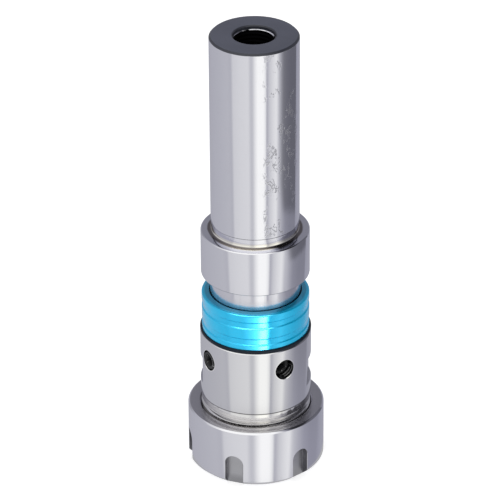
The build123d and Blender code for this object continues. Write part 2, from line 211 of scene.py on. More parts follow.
class FinishNodes(Nodes):
    """The nodes of one material, read on Object coordinates."""

    def __init__(self, name: str) -> None:
        """Start a material with its shader and its coordinates."""
        self.material = bpy.data.materials.new(name)
        self.material.use_nodes = True
        super().__init__(self.material.node_tree)
        self.tree.nodes.clear()
        self.shader = self.add("ShaderNodeBsdfPrincipled")
        output = self.add("ShaderNodeOutputMaterial")
        self.tree.links.new(self.shader.outputs[0], output.inputs[0])
        self.place = self.add("ShaderNodeTexCoord").outputs["Object"]
        parts = self.add("ShaderNodeSeparateXYZ", sockets={0: self.place})
        self.x, self.y, self.z = (self.value(socket) / MM for socket in parts.outputs)
        self.radius = (self.x * self.x + self.y * self.y).math("SQRT")

    @property
    def clock(self) -> Value:
        """Clock angle from +X towards +Y, in degrees from -180 to 180."""
        return self.y.math("ARCTAN2", self.x) * math.degrees(1)

    @staticmethod
    def inside(length: Value, limit: float, blur: float = 0.06) -> Value:
        """1 where a length is below its limit and 0 beyond it."""
        return 1 - length.between(limit - blur, limit + blur)

    def replace_shader(self, node: bpy.types.Node) -> None:
        """Let another shader node feed the output."""
        self.tree.nodes.remove(self.shader)
        output = next(other for other in self.tree.nodes if other.type == "OUTPUT_MATERIAL")
        self.tree.links.new(node.outputs[0], output.inputs[0])

    def noise(self, scale: Colour, detail: float = 2.0, roughness: float = 0.5) -> Value:
        """Noise stretched by its own count of features for each metre of x, y and z."""
        mapping = self.add("ShaderNodeMapping", {"vector_type": "POINT"}, {0: self.place, 3: scale})
        sockets = {"Vector": mapping.outputs[0], "Scale": 1.0, "Detail": detail, "Roughness": roughness}
        node = self.add("ShaderNodeTexNoise", {"noise_dimensions": "3D"}, sockets)
        return self.value(node.outputs[0])

    def finish(
        self,
        colour: bpy.types.NodeSocket,
        roughness: Value,
        metallic: Union[Value, Number],
        relief: Optional[Value] = None,
        relief_depth: float = 0.0,
        fixed: Optional[dict[str, object]] = None,
    ) -> bpy.types.Material:
        """Feed the shader.

        Args:
            colour: The base colour.
            roughness: The roughness over the surface.
            metallic: How much of the surface is bare metal.
            relief: Height that a Bump node turns into a normal.
            relief_depth: Depth of that height, in millimetres.
            fixed: Values that are the same all over, set on the shader's own sockets.

        Returns:
            The finished material.
        """
        self.tree.links.new(colour, self.shader.inputs["Base Color"])
        self.tree.links.new(roughness.socket, self.shader.inputs["Roughness"])
        if isinstance(metallic, Value):
            self.tree.links.new(metallic.socket, self.shader.inputs["Metallic"])
        else:
            self.shader.inputs["Metallic"].default_value = metallic
        if relief is not None:
            sockets = {"Strength": 1.0, "Distance": relief_depth * MM, "Height": relief}
            bump = self.add("ShaderNodeBump", None, sockets)
            self.tree.links.new(bump.outputs[0], self.shader.inputs["Normal"])
        for name, given in (fixed or {}).items():
            self.shader.inputs[name].default_value = given
        return self.material


def shaded(colour: Colour, factor: float) -> Colour:
    """A colour made darker or lighter, held at 1."""
    return tuple(min(1.0, part * factor) for part in colour)


@dataclass(frozen=True)
class TurnedMetal:
    """Metal turned or ground round Z, with fine lines round it and a faint cloud of handling."""

    name: str
    slot: Slot
    colour: Colour
    roughness: float = 0.1
    line_pitch: float = 0.35
    line_shade: float = 0.05
    line_roughness: float = 0.03
    line_depth: float = 0.0004
    cloud_shade: float = 0.04
    cloud_roughness: float = 0.03

    def marks(self, nodes: FinishNodes) -> tuple[Value, Value]:
        """Fine lines round the axis, and the cloud."""
        lines = nodes.noise((30.0, 30.0, 1 / (self.line_pitch * MM)), detail=3.0, roughness=0.6)
        return lines, nodes.noise((70.0, 70.0, 45.0), detail=4.0)

    def base(self, nodes: FinishNodes, lines: Value, cloud: Value) -> bpy.types.NodeSocket:
        """The bare metal's colour."""
        swing = (lines - 0.5) * self.line_shade * 4 + (cloud - 0.5) * self.cloud_shade * 4 + 0.5
        low = shaded(self.colour, 1 - self.line_shade - self.cloud_shade)
        high = shaded(self.colour, 1 + self.line_shade + self.cloud_shade)
        return nodes.mix(swing, low, high)

    def roughness_of(self, lines: Value, cloud: Value) -> Value:
        """Roughness that follows the lines and the cloud."""
        return lines * self.line_roughness + cloud * self.cloud_roughness + (
            self.roughness - (self.line_roughness + self.cloud_roughness) / 2
        )

    def bare_metal(
        self, nodes: FinishNodes, colour: bpy.types.NodeSocket, roughness: Value, lines: Value
    ) -> bpy.types.Material:
        """The material of metal that is bare all over, with the lines in its relief."""
        return nodes.finish(colour, roughness, 1.0, lines * self.line_depth, 1.0)

    def material(self) -> bpy.types.Material:
        """Build the material."""
        nodes = FinishNodes(self.name)
        lines, cloud = self.marks(nodes)
        colour = self.base(nodes, lines, cloud)
        return self.bare_metal(nodes, colour, self.roughness_of(lines, cloud), lines)


@dataclass(frozen=True)
class GroundShank(TurnedMetal):
    """Ground shank with scuffs of use, a blackened end, and painted shade that makes its rear hole near
    black.

    Scuffs are small dents and scratches. Most lie inside a window of clock angles, in degrees from +X.
    """

    oxide: Colour = (0.1, 0.107, 0.145)
    oxide_from: float = 171.2
    end: float = 171.95
    oxide_roughness: float = 0.38
    scuff_from: float = -70.0
    scuff_to: float = -26.0
    scuffs_elsewhere: float = 0.07
    scuff_depth: float = 0.03
    scuff_shade: float = 0.8
    scuff_roughness: float = 0.42
    mouth_radius: float = 8.02
    mouth_foot: float = 170.42
    hole_foot: float = 121.8
    hole_shade_colour: Colour = (0.004, 0.004, 0.005)
    foot: float = 98.75
    collar_top: float = 95.25
    foot_shade_line_colour: Colour = (0.08, 0.08, 0.09)
    relief_radius: float = 15.7
    corner_shade_colour: Colour = (0.13, 0.105, 0.09)
    cream_highlight_colour: Colour = (0.98, 0.95, 0.86)
    neck_radius: float = 16.5
    neck_shade: tuple[float, float] = (69.9, 74.9)
    neck_shade_cover: float = 0.35
    neck_shade_colour: Colour = (0.2, 0.22, 0.25)
    neck_roughness: float = 0.12

    def scuffs(self, nodes: FinishNodes) -> Value:
        """Small curved nicks where the shank was clamped."""
        clock = nodes.clock
        window = clock.between(self.scuff_from - 8, self.scuff_from) * (
            1 - clock.between(self.scuff_to, self.scuff_to + 12)
        )
        fine = nodes.noise((640.0, 640.0, 520.0), detail=2.0)
        nicks = 1 - (fine - 0.5).math("ABSOLUTE").between(0.02, 0.06)
        patches = nodes.noise((260.0, 260.0, 190.0), detail=3.0).between(0.5, 0.57)
        clusters = nodes.noise((75.0, 75.0, 42.0), detail=2.0).between(0.4, 0.52)
        window = window * (1 - self.scuffs_elsewhere) + self.scuffs_elsewhere
        return nicks * patches * clusters * window * nodes.z.between(self.foot, self.foot + 2)

    def corners(
        self, nodes: FinishNodes, colour: bpy.types.NodeSocket
    ) -> tuple[bpy.types.NodeSocket, Value]:
        """Colour with a painted shade line at the foot, a painted cream highlight on the relief, painted
        shade in the relief's corner and painted shade at the foot of the duller neck, and where the neck is
        dull.
        """
        # Painted shade: a dark line round the shank just under and over the step at its foot.
        line = nodes.z.between(self.foot - 0.3, self.foot - 0.12)
        line = line * nodes.inside(nodes.z, self.foot + 0.18, 0.08)
        colour = nodes.mix(line * 0.7, colour, self.foot_shade_line_colour)
        # Painted highlight: a cream band on the relief's fillet just above the collar.
        rise = nodes.z - self.collar_top
        relief_highlight = nodes.inside(nodes.radius, self.relief_radius + 0.5, 0.1) * nodes.inside(rise, 1.5, 0.25)
        colour = nodes.mix(relief_highlight * rise.between(0.35, 0.5), colour, self.cream_highlight_colour)
        # Painted shade: a dark brownish ring, made ragged by noise, in the corner where the relief meets the
        # collar's top face.
        corner_shade_noise = nodes.noise((160.0, 160.0, 160.0), detail=3.0)
        corner = nodes.inside(nodes.radius + (corner_shade_noise - 0.5) * 0.8, self.relief_radius + 1.5, 0.3)
        corner = corner * nodes.inside(rise, 0.42, 0.1) * rise.between(-0.2, -0.1)
        colour = nodes.mix(corner * 0.85, colour, self.corner_shade_colour)
        low, high = self.neck_shade
        dull = nodes.z.between(low - 8, low - 7.9) * (1 - nodes.z.between((low + high) / 2, high))
        dull = dull * nodes.inside(nodes.radius, self.neck_radius + 0.1)
        # Painted shade: the neck's colour darkens in its last millimetre above the blue ring's mouth.
        shade = dull * (1 - nodes.z.between(low, low + 1.0)) * self.neck_shade_cover
        return nodes.mix(shade, colour, self.neck_shade_colour), dull

    def material(self) -> bpy.types.Material:
        """Build the material."""
        nodes = FinishNodes(self.name)
        lines, cloud = self.marks(nodes)
        scuffs = self.scuffs(nodes)
        edge = nodes.noise((400.0, 400.0, 400.0), detail=3.0)
        oxide = (nodes.z + (edge - 0.5) * 0.12).between(self.oxide_from - 0.04, self.oxide_from + 0.04)
        in_mouth = nodes.inside(nodes.radius, self.mouth_radius)
        mouth = in_mouth * nodes.z.between(self.mouth_foot, self.mouth_foot + 0.05)
        oxide = oxide.math("MAXIMUM", mouth)
        worn = nodes.noise((330.0, 330.0, 330.0), detail=2.0).between(0.4, 0.5)
        above = nodes.z - self.mouth_foot
        lip = in_mouth * above.between(-0.32, -0.28) * nodes.inside(above, 0.05)
        oxide = oxide * (1 - lip * worn)
        # Painted shade: the rear hole's wall is coloured near black from the hole's foot up to the mouth.
        hole = in_mouth * nodes.z.between(self.hole_foot, self.hole_foot + 1)
        hole = hole * nodes.inside(nodes.z, self.mouth_foot) * (1 - lip * worn)
        scuffed = shaded(self.colour, self.scuff_shade)
        bare = nodes.mix(scuffs, self.base(nodes, lines, cloud), scuffed)
        bare, dull = self.corners(nodes, bare)
        mottle = nodes.mix(cloud, shaded(self.oxide, 0.8), shaded(self.oxide, 1.25))
        # Painted shade: the blackened side, chamfer and mouth below the end face take a darker copy of the
        # oxide colour.
        end_shade = nodes.inside(nodes.z, self.end - 0.05, 0.03)
        mottle = nodes.mix(end_shade, mottle, shaded(self.oxide, 0.4))
        colour = nodes.mix(hole, nodes.mix(oxide, bare, mottle), self.hole_shade_colour)
        steel = self.roughness_of(lines, cloud) + scuffs * self.scuff_roughness + dull * self.neck_roughness
        roughness = steel * (1 - oxide) + oxide * (edge * 0.12 + self.oxide_roughness - 0.06) + hole * 0.6
        relief = lines * self.line_depth - scuffs * self.scuff_depth
        return nodes.finish(colour, roughness, 1 - oxide, relief, 1.0)


@dataclass(frozen=True)
class BarrelSteel(TurnedMetal):
    """Turned head with painted shade in its side holes and a painted highlight on their rims, painted shade
    lines at the barrel's foot and undercut, and painted shade on its thread in the nut that partly stands
    for oil there.
    """

    hole_clocks: tuple[float, float] = (35.5, 125.5)
    hole_height: float = 45.85
    hole_radius: float = 3.86
    rim_radius: float = 4.15
    barrel_radius: float = 20.25
    oil_shade_top: float = 22.95
    barrel_bottom: float = 28.55
    # The dark colour is painted shade, in the hole walls and in lines at the barrel's foot and undercut.
    dark: Colour = (0.05, 0.05, 0.054)
    band_colour: Colour = (0.98, 0.97, 0.96)
    rim_highlight_colour: Colour = (1.0, 1.0, 1.0)
    oil_shade_colour: Colour = (0.13, 0.12, 0.11)
    oil_shade_cover: float = 0.85

    def holes(self, nodes: FinishNodes) -> tuple[Value, Value]:
        """The walls of the side holes, which take painted shade, and their rims, which take a painted
        highlight; the holes run across the axis at two clocks.
        """
        found = nodes.x * 0
        rims = nodes.x * 0
        for clock in self.hole_clocks:
            sine, cosine = math.sin(math.radians(clock)), math.cos(math.radians(clock))
            aside = nodes.y * cosine - nodes.x * sine
            above = nodes.z - self.hole_height
            reach = (aside * aside + above * above).math("SQRT")
            found = found.math("MAXIMUM", nodes.inside(reach, self.hole_radius))
            rims = rims.math("MAXIMUM", nodes.inside(reach, self.rim_radius))
        return found * nodes.inside(nodes.radius, self.barrel_radius - 0.15), rims

    def material(self) -> bpy.types.Material:
        """Build the material."""
        nodes = FinishNodes(self.name)
        lines, cloud = self.marks(nodes)
        # Painted shade on the thread below the nut's top, which partly stands for oil there.
        oil = 1 - nodes.z.between(self.oil_shade_top - 0.15, self.oil_shade_top + 0.15)
        band = nodes.inside(nodes.z, self.barrel_bottom, 0.1) * nodes.radius.between(18.0, 18.5)
        colour = nodes.mix(band * 0.8, self.base(nodes, lines, cloud), self.band_colour)
        # Painted shade: dark lines round the barrel at its foot step and, fainter, at the thread's undercut.
        height = nodes.z - self.barrel_bottom
        line = height.between(-0.45, -0.2) * (1 - height.between(0.1, 0.35))
        line = line.math("MAXIMUM", height.between(-2.9, -2.7) * (1 - height.between(-2.55, -2.35)) * 0.5)
        colour = nodes.mix(line * 0.75, colour, self.dark)
        walls, rims = self.holes(nodes)
        # Painted highlight: a white rim round each side hole.
        colour = nodes.mix(rims * 0.9, colour, self.rim_highlight_colour)
        colour = nodes.mix(oil * self.oil_shade_cover, colour, self.oil_shade_colour)
        # Painted shade: the side holes' walls are coloured dark.
        colour = nodes.mix(walls, colour, self.dark)
        return self.bare_metal(nodes, colour, self.roughness_of(lines, cloud), lines)


@dataclass(frozen=True)
class SlottedNutSteel(TurnedMetal):
    """Nut that is ground outside and milled in its slots."""

    outside: float = 25.0
    foot_edge: float = 22.6
    slot_top: float = 13.0
    face_height: float = 23.2
    face_colour: Colour = (0.53, 0.52, 0.54)
    slot_colour: Colour = (0.46, 0.46, 0.49)
    wall_shade_colour: Colour = (0.2, 0.2, 0.22)
    slot_roughness: float = 0.36
    face_roughness: float = 0.24

    def material(self) -> bpy.types.Material:
        """Build the material."""
        nodes = FinishNodes(self.name)
        lines, cloud = self.marks(nodes)
        over_foot = (nodes.z - nodes.radius + self.foot_edge).between(0.02, 0.15)
        slot = nodes.inside(nodes.radius, self.outside - 0.1) * nodes.inside(nodes.z, self.slot_top)
        slot = slot * over_foot
        # Painted shade: the side walls of the slots are coloured dark.
        slot_wall_shade = slot * nodes.radius.between(self.foot_edge, self.foot_edge + 0.1)
        face = nodes.z.between(self.face_height - 0.05, self.face_height + 0.05)
        face = face * nodes.inside(nodes.radius, self.outside - 0.6)
        rings = nodes.noise((1500.0, 1500.0, 40.0), detail=2.0)
        cutter = nodes.noise((90.0, 90.0, 1500.0), detail=3.0)
        milled = nodes.mix(cutter, shaded(self.slot_colour, 0.9), shaded(self.slot_colour, 1.08))
        colour = nodes.mix(face * 0.8, self.base(nodes, lines, cloud), self.face_colour)
        colour = nodes.mix(slot, colour, milled)
        colour = nodes.mix(slot_wall_shade, colour, self.wall_shade_colour)
        steel = self.roughness_of(lines, cloud)
        roughness = steel + slot * (self.slot_roughness - self.roughness)
        roughness = roughness + face * (self.face_roughness - self.roughness + (rings - 0.5) * 0.1)
        return self.bare_metal(nodes, colour, roughness, lines)


@dataclass(frozen=True)
class AnodisedBlue:
    """Turned aluminium under a clear blue anodic layer."""

    name: str
    slot: Slot
    colour: Colour
    roughness: float = 0.16
    face_height: float = 69.55
    shaded_face_radius: float = 18.5

    def material(self) -> bpy.types.Material:
        """Build the material."""
        nodes = FinishNodes(self.name)
        lines = nodes.noise((25.0, 25.0, 3200.0), detail=3.0, roughness=0.6)
        cloud = nodes.noise((90.0, 90.0, 60.0), detail=3.0)
        colour = nodes.mix(lines * 0.5 + cloud * 0.5, shaded(self.colour, 0.9), shaded(self.colour, 1.1))
        # Painted shade: the inner part of the ring's top face is coloured darker blue.
        face = nodes.inside(nodes.radius, self.shaded_face_radius, 0.3) * nodes.z.between(
            self.face_height, self.face_height + 0.05
        )
        colour = nodes.mix(face * 0.75, colour, shaded(self.colour, 0.45))
        roughness = lines * 0.06 + cloud * 0.04 + (self.roughness - 0.05)
        fixed = {"Coat Weight": 1.0, "Coat Roughness": 0.07, "Coat IOR": 1.45, "Specular IOR Level": 0.25}
        return nodes.finish(colour, roughness, 0.45, lines, 0.0005, fixed)


@dataclass(frozen=True)
class MouldedRubber:
    """Black rubber with a matt skin and a little dust."""

    name: str
    slot: Slot
    colour: Colour
    roughness: float = 0.42

    def material(self) -> bpy.types.Material:
        """Build the material."""
        nodes = FinishNodes(self.name)
        skin = nodes.noise((2600.0, 2600.0, 2600.0), detail=3.0)
        dust = nodes.noise((220.0, 220.0, 220.0), detail=4.0).between(0.5, 0.8)
        colour = nodes.mix(dust, self.colour, tuple(part + 0.02 for part in self.colour))
        roughness = skin * 0.12 + dust * 0.15 + (self.roughness - 0.06)
        return nodes.finish(colour, roughness, 0.0, skin, 0.004, {"Specular IOR Level": 0.25})


@dataclass(frozen=True)
class OxideBlack:
    """Steel blackened in a bath and oiled, worn bright in specks."""

    name: str
    slot: Slot
    colour: Colour
    roughness: float = 0.34
    bare: Colour = (0.5, 0.5, 0.52)

    def material(self) -> bpy.types.Material:
        """Build the material."""
        nodes = FinishNodes(self.name)
        grain = nodes.noise((1400.0, 1400.0, 1400.0), detail=3.0)
        oil = nodes.noise((180.0, 180.0, 180.0), detail=3.0)
        specks = nodes.noise((1100.0, 1100.0, 1100.0), detail=2.0).between(0.66, 0.7)
        colour = nodes.mix(oil, shaded(self.colour, 0.5), shaded(self.colour, 0.9))
        colour = nodes.mix(specks, colour, self.bare)
        roughness = grain * 0.14 + oil * 0.1 + (self.roughness - 0.12)
        return nodes.finish(colour, roughness, specks, grain, 0.002, {"Specular IOR Level": 0.2})


Finish = Union[TurnedMetal, AnodisedBlue, MouldedRubber, OxideBlack]


@dataclass(frozen=True)
class Finishes:
    """Every finish of the chuck."""

    shank: Finish = GroundShank(
        "ground shank steel", Slot.GROUND_STEEL, (0.75, 0.75, 0.81), 0.085, line_shade=0.02
    )
    head: Finish = BarrelSteel(
        "turned head steel", Slot.TURNED_STEEL, (0.73, 0.73, 0.765), 0.1, line_shade=0.03
    )
    nut: Finish = SlottedNutSteel(
        "ground nut steel", Slot.NUT_STEEL, (0.75, 0.75, 0.81), 0.11, line_shade=0.03
    )
    blue: Finish = AnodisedBlue("blue anodised sleeve", Slot.BLUE_ANODISED, (0.005, 0.575, 1.0))
    rubber: Finish = MouldedRubber("black ring rubber", Slot.BLACK_RUBBER, (0.004, 0.01, 0.02))
    oxide: Finish = OxideBlack("black screw oxide", Slot.BLACK_OXIDE, (0.035, 0.035, 0.037))
    bronze: Finish = TurnedMetal("bearing bronze", Slot.BRONZE, (0.72, 0.48, 0.24), 0.26)
    brass: Finish = TurnedMetal("cage brass", Slot.CAGE_BRASS, (0.8, 0.64, 0.32), 0.2)
    ball: Finish = TurnedMetal(
        "polished ball steel", Slot.BALL_STEEL, (0.8, 0.8, 0.82), 0.05, line_shade=0.0, line_depth=0.0
    )
    spring: Finish = TurnedMetal("oiled spring wire", Slot.SPRING_STEEL, (0.42, 0.42, 0.44), 0.28)
    washer: Finish = TurnedMetal("hardened washer steel", Slot.HARD_WASHER, (0.5, 0.5, 0.52), 0.22)


class Dresser:
    """Makes each finish once and puts it on pieces."""

    def __init__(self, finishes: Finishes) -> None:
        """Keep the finishes."""
        self.finishes = finishes
        self.made: dict[str, bpy.types.Material] = {}

    def material(self, finish: Finish) -> bpy.types.Material:
        """The material of a finish, made at its first use."""
        if finish.name not in self.made:
            self.made[finish.name] = finish.material()
        return self.made[finish.name]

    def dress_node(self, node: bpy.types.Object, finish: Finish) -> None:
        """Give a node of the frame its finish through its material slots."""
        material = self.material(finish)
        if not node.material_slots:
            node.data.materials.append(material)
        for place in node.material_slots:
            place.material = material
        log.info("node %s takes %s", node.name, finish.name)

    def hand_over(self, piece: bpy.types.Object, body: str, finish: Finish, *nodes: str) -> None:
        """Give a piece to its body and the nodes that it stands for.

        Args:
            piece: The finished piece.
            body: The body that it rides on.
            finish: The finish that it wears; not used.
            nodes: The nodes that it replaces.
        """
        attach(piece, body)
        if nodes:
            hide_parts(*nodes)
        log.info("piece %s: %d faces on %s", piece.name, len(piece.data.polygons), body)


@dataclass(frozen=True)
class Corner:
    """A corner of a half section: radius, height and how far its edge is eased, in millimetres."""

    radius: float
    height: float
    ease: float = 0.0


def eased_outline(corners: Sequence[Corner]) -> list[tuple[float, float]]:
    """Round the corners of a closed half section.

    Args:
        corners: The corners in order.

    Returns:
        Points of the rounded outline, in millimetres.
    """
    points: list[tuple[float, float]] = []
    for number, corner in enumerate(corners):
        here = Vector((corner.radius, corner.height))
        if corner.ease == 0.0:
            points.append(tuple(here))
            continue
        before, after = corners[number - 1], corners[(number + 1) % len(corners)]
        start = here + (Vector((before.radius, before.height)) - here).normalized() * corner.ease
        end = here + (Vector((after.radius, after.height)) - here).normalized() * corner.ease
        for step in range(EASE_STEPS + 1):
            part = step / EASE_STEPS
            spot = start * (1 - part) ** 2 + here * (2 * part * (1 - part)) + end * part ** 2
            points.append(tuple(spot))
    return points


def turned_mesh(corners: Sequence[Corner], steps: int = ROUND_STEPS) -> bpy.types.Mesh:
    """Turn a closed half section round Z.

    Args:
        corners: Its corners. A corner on the axis becomes one pole.
        steps: Count of faces round the axis.

    Returns:
        A closed mesh in metres.
    """
    built = bmesh.new()
    rings: list[list[bmesh.types.BMVert]] = []
    for radius, height in eased_outline(corners):
        if radius < 1e-6:
            rings.append([built.verts.new((0.0, 0.0, height * MM))])
            continue
        spots = (2 * math.pi * step / steps for step in range(steps))
        rings.append(
            [
                built.verts.new((radius * MM * math.cos(turn), radius * MM * math.sin(turn), height * MM))
                for turn in spots
            ]
        )
    for number, low in enumerate(rings):
        high = rings[(number + 1) % len(rings)]
        if len(low) == 1 and len(high) == 1:
            continue
        for step in range(steps):
            following = (step + 1) % steps
            spots = [low[step % len(low)], low[following % len(low)]]
            spots += [high[following % len(high)], high[step % len(high)]]
            built.faces.new(list(dict.fromkeys(spots)))
    bmesh.ops.recalc_face_normals(built, faces=built.faces)
    return closed_mesh(built, "turned")


def closed_mesh(built: bmesh.types.BMesh, name: str) -> bpy.types.Mesh:
    """Turn a bmesh into a mesh and free it."""
    mesh = bpy.data.meshes.new(name)
    built.to_mesh(mesh)
    built.free()
    return mesh


def joined_mesh(name: str, meshes: Iterable[bpy.types.Mesh]) -> bpy.types.Mesh:
    """Put several meshes into one and turn their faces to point outwards.

    Args:
        name: Name of the result.
        meshes: The meshes, which are used up.

    Returns:
        The joined mesh.
    """
    built = bmesh.new()
    for mesh in meshes:
        built.from_mesh(mesh)
        bpy.data.meshes.remove(mesh)
    bmesh.ops.recalc_face_normals(built, faces=built.faces)
    return closed_mesh(built, name)


def merged_copy(source: bpy.types.Mesh, name: str) -> bpy.types.Mesh:
    """A copy of a frame node's mesh with its loose triangles merged. They already point outwards."""
    built = bmesh.new()
    built.from_mesh(source)
    bmesh.ops.remove_doubles(built, verts=built.verts, dist=MERGE_REACH)
    return closed_mesh(built, name)


def across(clock: float, reach: float, height: float) -> Matrix:
    """Lay something that stands on its origin across the axis, as the frame's screws lie."""
    place = Matrix.Translation((reach * MM, 0.0, height * MM)) @ Matrix.Rotation(math.pi / 2, 4, "Y")
    return Matrix.Rotation(math.radians(clock), 4, "Z") @ place


def prism_mesh(outline: Sequence[tuple[float, float]], bottom: float, top: float) -> bpy.types.Mesh:
    """A closed prism over an outline in x and y, in millimetres."""
    return lofted_mesh([[(x, y, bottom) for x, y in outline], [(x, y, top) for x, y in outline]])


def lofted_mesh(loops: Sequence[Sequence[tuple[float, float, float]]]) -> bpy.types.Mesh:
    """A closed mesh through loops of equal count.

    Args:
        loops: Loops of points in millimetres, one after the other.

    Returns:
        The mesh, closed at its first and last loops.
    """
    built = bmesh.new()
    rings = [[built.verts.new(Vector(spot) * MM) for spot in loop] for loop in loops]
    for low, high in zip(rings, rings[1:]):
        for number in range(len(low)):
            following = (number + 1) % len(low)
            built.faces.new((low[number], low[following], high[following], high[number]))
    built.faces.new(list(reversed(rings[0])))
    built.faces.new(rings[-1])
    bmesh.ops.recalc_face_normals(built, faces=built.faces)
    return closed_mesh(built, "loft")


def new_object(name: str, mesh: bpy.types.Mesh) -> bpy.types.Object:
    """Link a new object at the origin."""
    piece = bpy.data.objects.new(name, mesh)
    bpy.context.scene.collection.objects.link(piece)
    return piece


def drop_object(piece: bpy.types.Object) -> None:
    """Remove a helper object and its mesh."""
    mesh = piece.data
    bpy.data.objects.remove(piece)
    bpy.data.meshes.remove(mesh)


def section_slope(face: bpy.types.MeshPolygon, mesh: bpy.types.Mesh) -> Optional[tuple[float, float]]:
    """Slope of a face that belongs to a surface turned round Z.

    Args:
        face: The face.
        mesh: Its mesh.

    Returns:
        The normal's radial and upward parts, or None where the face isn't turned round Z.
    """
    centre = face.center
    out = Vector((centre.x, centre.y, 0.0))
    if out.length < 1e-9:
        return (0.0, face.normal.z) if abs(face.normal.z) > 0.999 else None
    out.normalize()
    around = Vector((-out.y, out.x, 0.0))
    if abs(face.normal.dot(around)) > 0.02:
        return None
    outward, upward = face.normal.dot(out), face.normal.z
    spots = [mesh.vertices[number].co for number in face.vertices]
    first = spots[0]
    for spot in spots[1:]:
        rise = (math.hypot(spot.x, spot.y) - math.hypot(first.x, first.y)) * outward
        if abs(rise + (spot.z - first.z) * upward) > 5e-6:
            return None
    return outward, upward


def smooth_turned(mesh: bpy.types.Mesh) -> None:
    """Shade a mesh smooth, with exact normals on everything that is turned round Z."""
    mesh.shade_smooth()
    mesh.set_sharp_from_angle(angle=SMOOTH_ANGLE)
    slopes = [section_slope(face, mesh) for face in mesh.polygons]
    around: list[list[tuple[float, float]]] = [[] for _ in mesh.vertices]
    for face, slope in zip(mesh.polygons, slopes):
        if slope is not None:
            for number in face.vertices:
                around[number].append(slope)
    limit = math.cos(SMOOTH_ANGLE)
    normals = [(0.0, 0.0, 0.0)] * len(mesh.loops)
    for face, slope in zip(mesh.polygons, slopes):
        if slope is None:
            continue
        for loop in face.loop_indices:
            number = mesh.loops[loop].vertex_index
            spot = mesh.vertices[number].co
            near = {other for other in around[number] if other[0] * slope[0] + other[1] * slope[1] > limit}
            outward = sum(other[0] for other in near)
            upward = sum(other[1] for other in near)
            reach = math.hypot(spot.x, spot.y)
            if reach < 1e-9:
                normals[loop] = (0.0, 0.0, math.copysign(1.0, upward))
                continue
            normal = Vector((spot.x / reach * outward, spot.y / reach * outward, upward)).normalized()
            normals[loop] = tuple(normal)
    mesh.normals_split_custom_set(normals)


def smooth_plain(mesh: bpy.types.Mesh) -> None:
    """Shade a mesh smooth between its sharp edges."""
    mesh.shade_smooth()
    mesh.set_sharp_from_angle(angle=SMOOTH_ANGLE)


class GrowthTree(Nodes):
    """A Geometry Nodes tree with named inputs that ends in a finish."""

    def __init__(self, name: str) -> None:
        """Start a tree that takes and gives geometry."""
        tree = bpy.data.node_groups.new(name, "GeometryNodeTree")
        super().__init__(tree)
        tree.interface.new_socket("Geometry", in_out="INPUT", socket_type="NodeSocketGeometry")
        tree.interface.new_socket("Geometry", in_out="OUTPUT", socket_type="NodeSocketGeometry")
        self.entry = self.add("NodeGroupInput")
        self.identifiers: dict[str, str] = {}

    def take(self, name: str, kind: str) -> bpy.types.NodeSocket:
        """Add a named input, such as NodeSocketFloat, and return its socket."""
        item = self.tree.interface.new_socket(name, in_out="INPUT", socket_type=kind)
        self.identifiers[name] = item.identifier
        return self.entry.outputs[name]

    def take_number(self, name: str) -> Value:
        """Add a named number input."""
        return self.value(self.take(name, "NodeSocketFloat"))

    def close(self, geometry: bpy.types.NodeSocket) -> None:
        """End the tree in Realize Instances and Set Material."""
        material = self.take("Finish", "NodeSocketMaterial")
        real = self.add("GeometryNodeRealizeInstances", sockets={0: geometry})
        sockets = {"Geometry": real.outputs[0], "Material": material}
        dressed = self.add("GeometryNodeSetMaterial", None, sockets)
        self.add("NodeGroupOutput", sockets={0: dressed.outputs[0]})

    def grow(self, start: bpy.types.Mesh, inputs: dict[str, object]) -> bpy.types.Mesh:
        """Run the tree on a mesh.

        Args:
            start: The mesh that goes in. It is used up.
            inputs: Values of the named inputs.

        Returns:
            The plain mesh that comes out.
        """
        holder = new_object("holder", start)
        modifier = holder.modifiers.new(self.tree.name, "NODES")
        modifier.node_group = self.tree
        for name, given in inputs.items():
            modifier[self.identifiers[name]] = given
        graph = bpy.context.evaluated_depsgraph_get()
        grown = bpy.data.meshes.new_from_object(holder.evaluated_get(graph), depsgraph=graph)
        holder.modifiers.remove(modifier)
        drop_object(holder)
        return grown


class RoundCutTree(GrowthTree):
    """Cuts one cutter out of a piece again and again round the Z axis."""

    def __init__(self) -> None:
        """Build the tree."""
        super().__init__("cut round the axis")
        cutter = self.take("Cutter", "NodeSocketObject")
        count = self.take("Count", "NodeSocketInt")
        first = self.take_number("First Clock")
        points = self.add("GeometryNodePoints", sockets={"Count": count})
        index = self.value(self.add("GeometryNodeInputIndex").outputs[0])
        turn = first + index * (2 * math.pi) / self.value(count)
        tilt = self.add("ShaderNodeCombineXYZ", sockets={"Z": turn})
        shape = self.add("GeometryNodeObjectInfo", {"transform_space": "ORIGINAL"}, {"Object": cutter})
        sockets = {"Points": points.outputs[0], "Instance": shape.outputs["Geometry"]}
        copies = self.add("GeometryNodeInstanceOnPoints", None, {**sockets, "Rotation": tilt.outputs[0]})
        real = self.add("GeometryNodeRealizeInstances", sockets={0: copies.outputs[0]})
        settings = {"operation": "DIFFERENCE", "solver": "EXACT"}
        cut = self.add(
            "GeometryNodeMeshBoolean", settings, {0: self.entry.outputs[0], 1: real.outputs[0]}
        )
        self.close(cut.outputs[0])

    def cut(
        self,
        blank: bpy.types.Mesh,
        cutter: bpy.types.Mesh,
        count: int,
        first_clock: float,
        finish: bpy.types.Material,
    ) -> bpy.types.Mesh:
        """Cut a blank.

        Args:
            blank: The mesh that is cut.
            cutter: The cutter at clock 0. It is used up.
            count: How many cuts there are round the axis.
            first_clock: Clock angle of the first, in degrees.
            finish: Material of the result.

        Returns:
            The cut mesh.
        """
        tool = new_object("cutter", cutter)
        inputs = {"Cutter": tool, "Count": count, "First Clock": math.radians(first_clock), "Finish": finish}
        result = self.grow(blank, inputs)
        drop_object(tool)
        return result


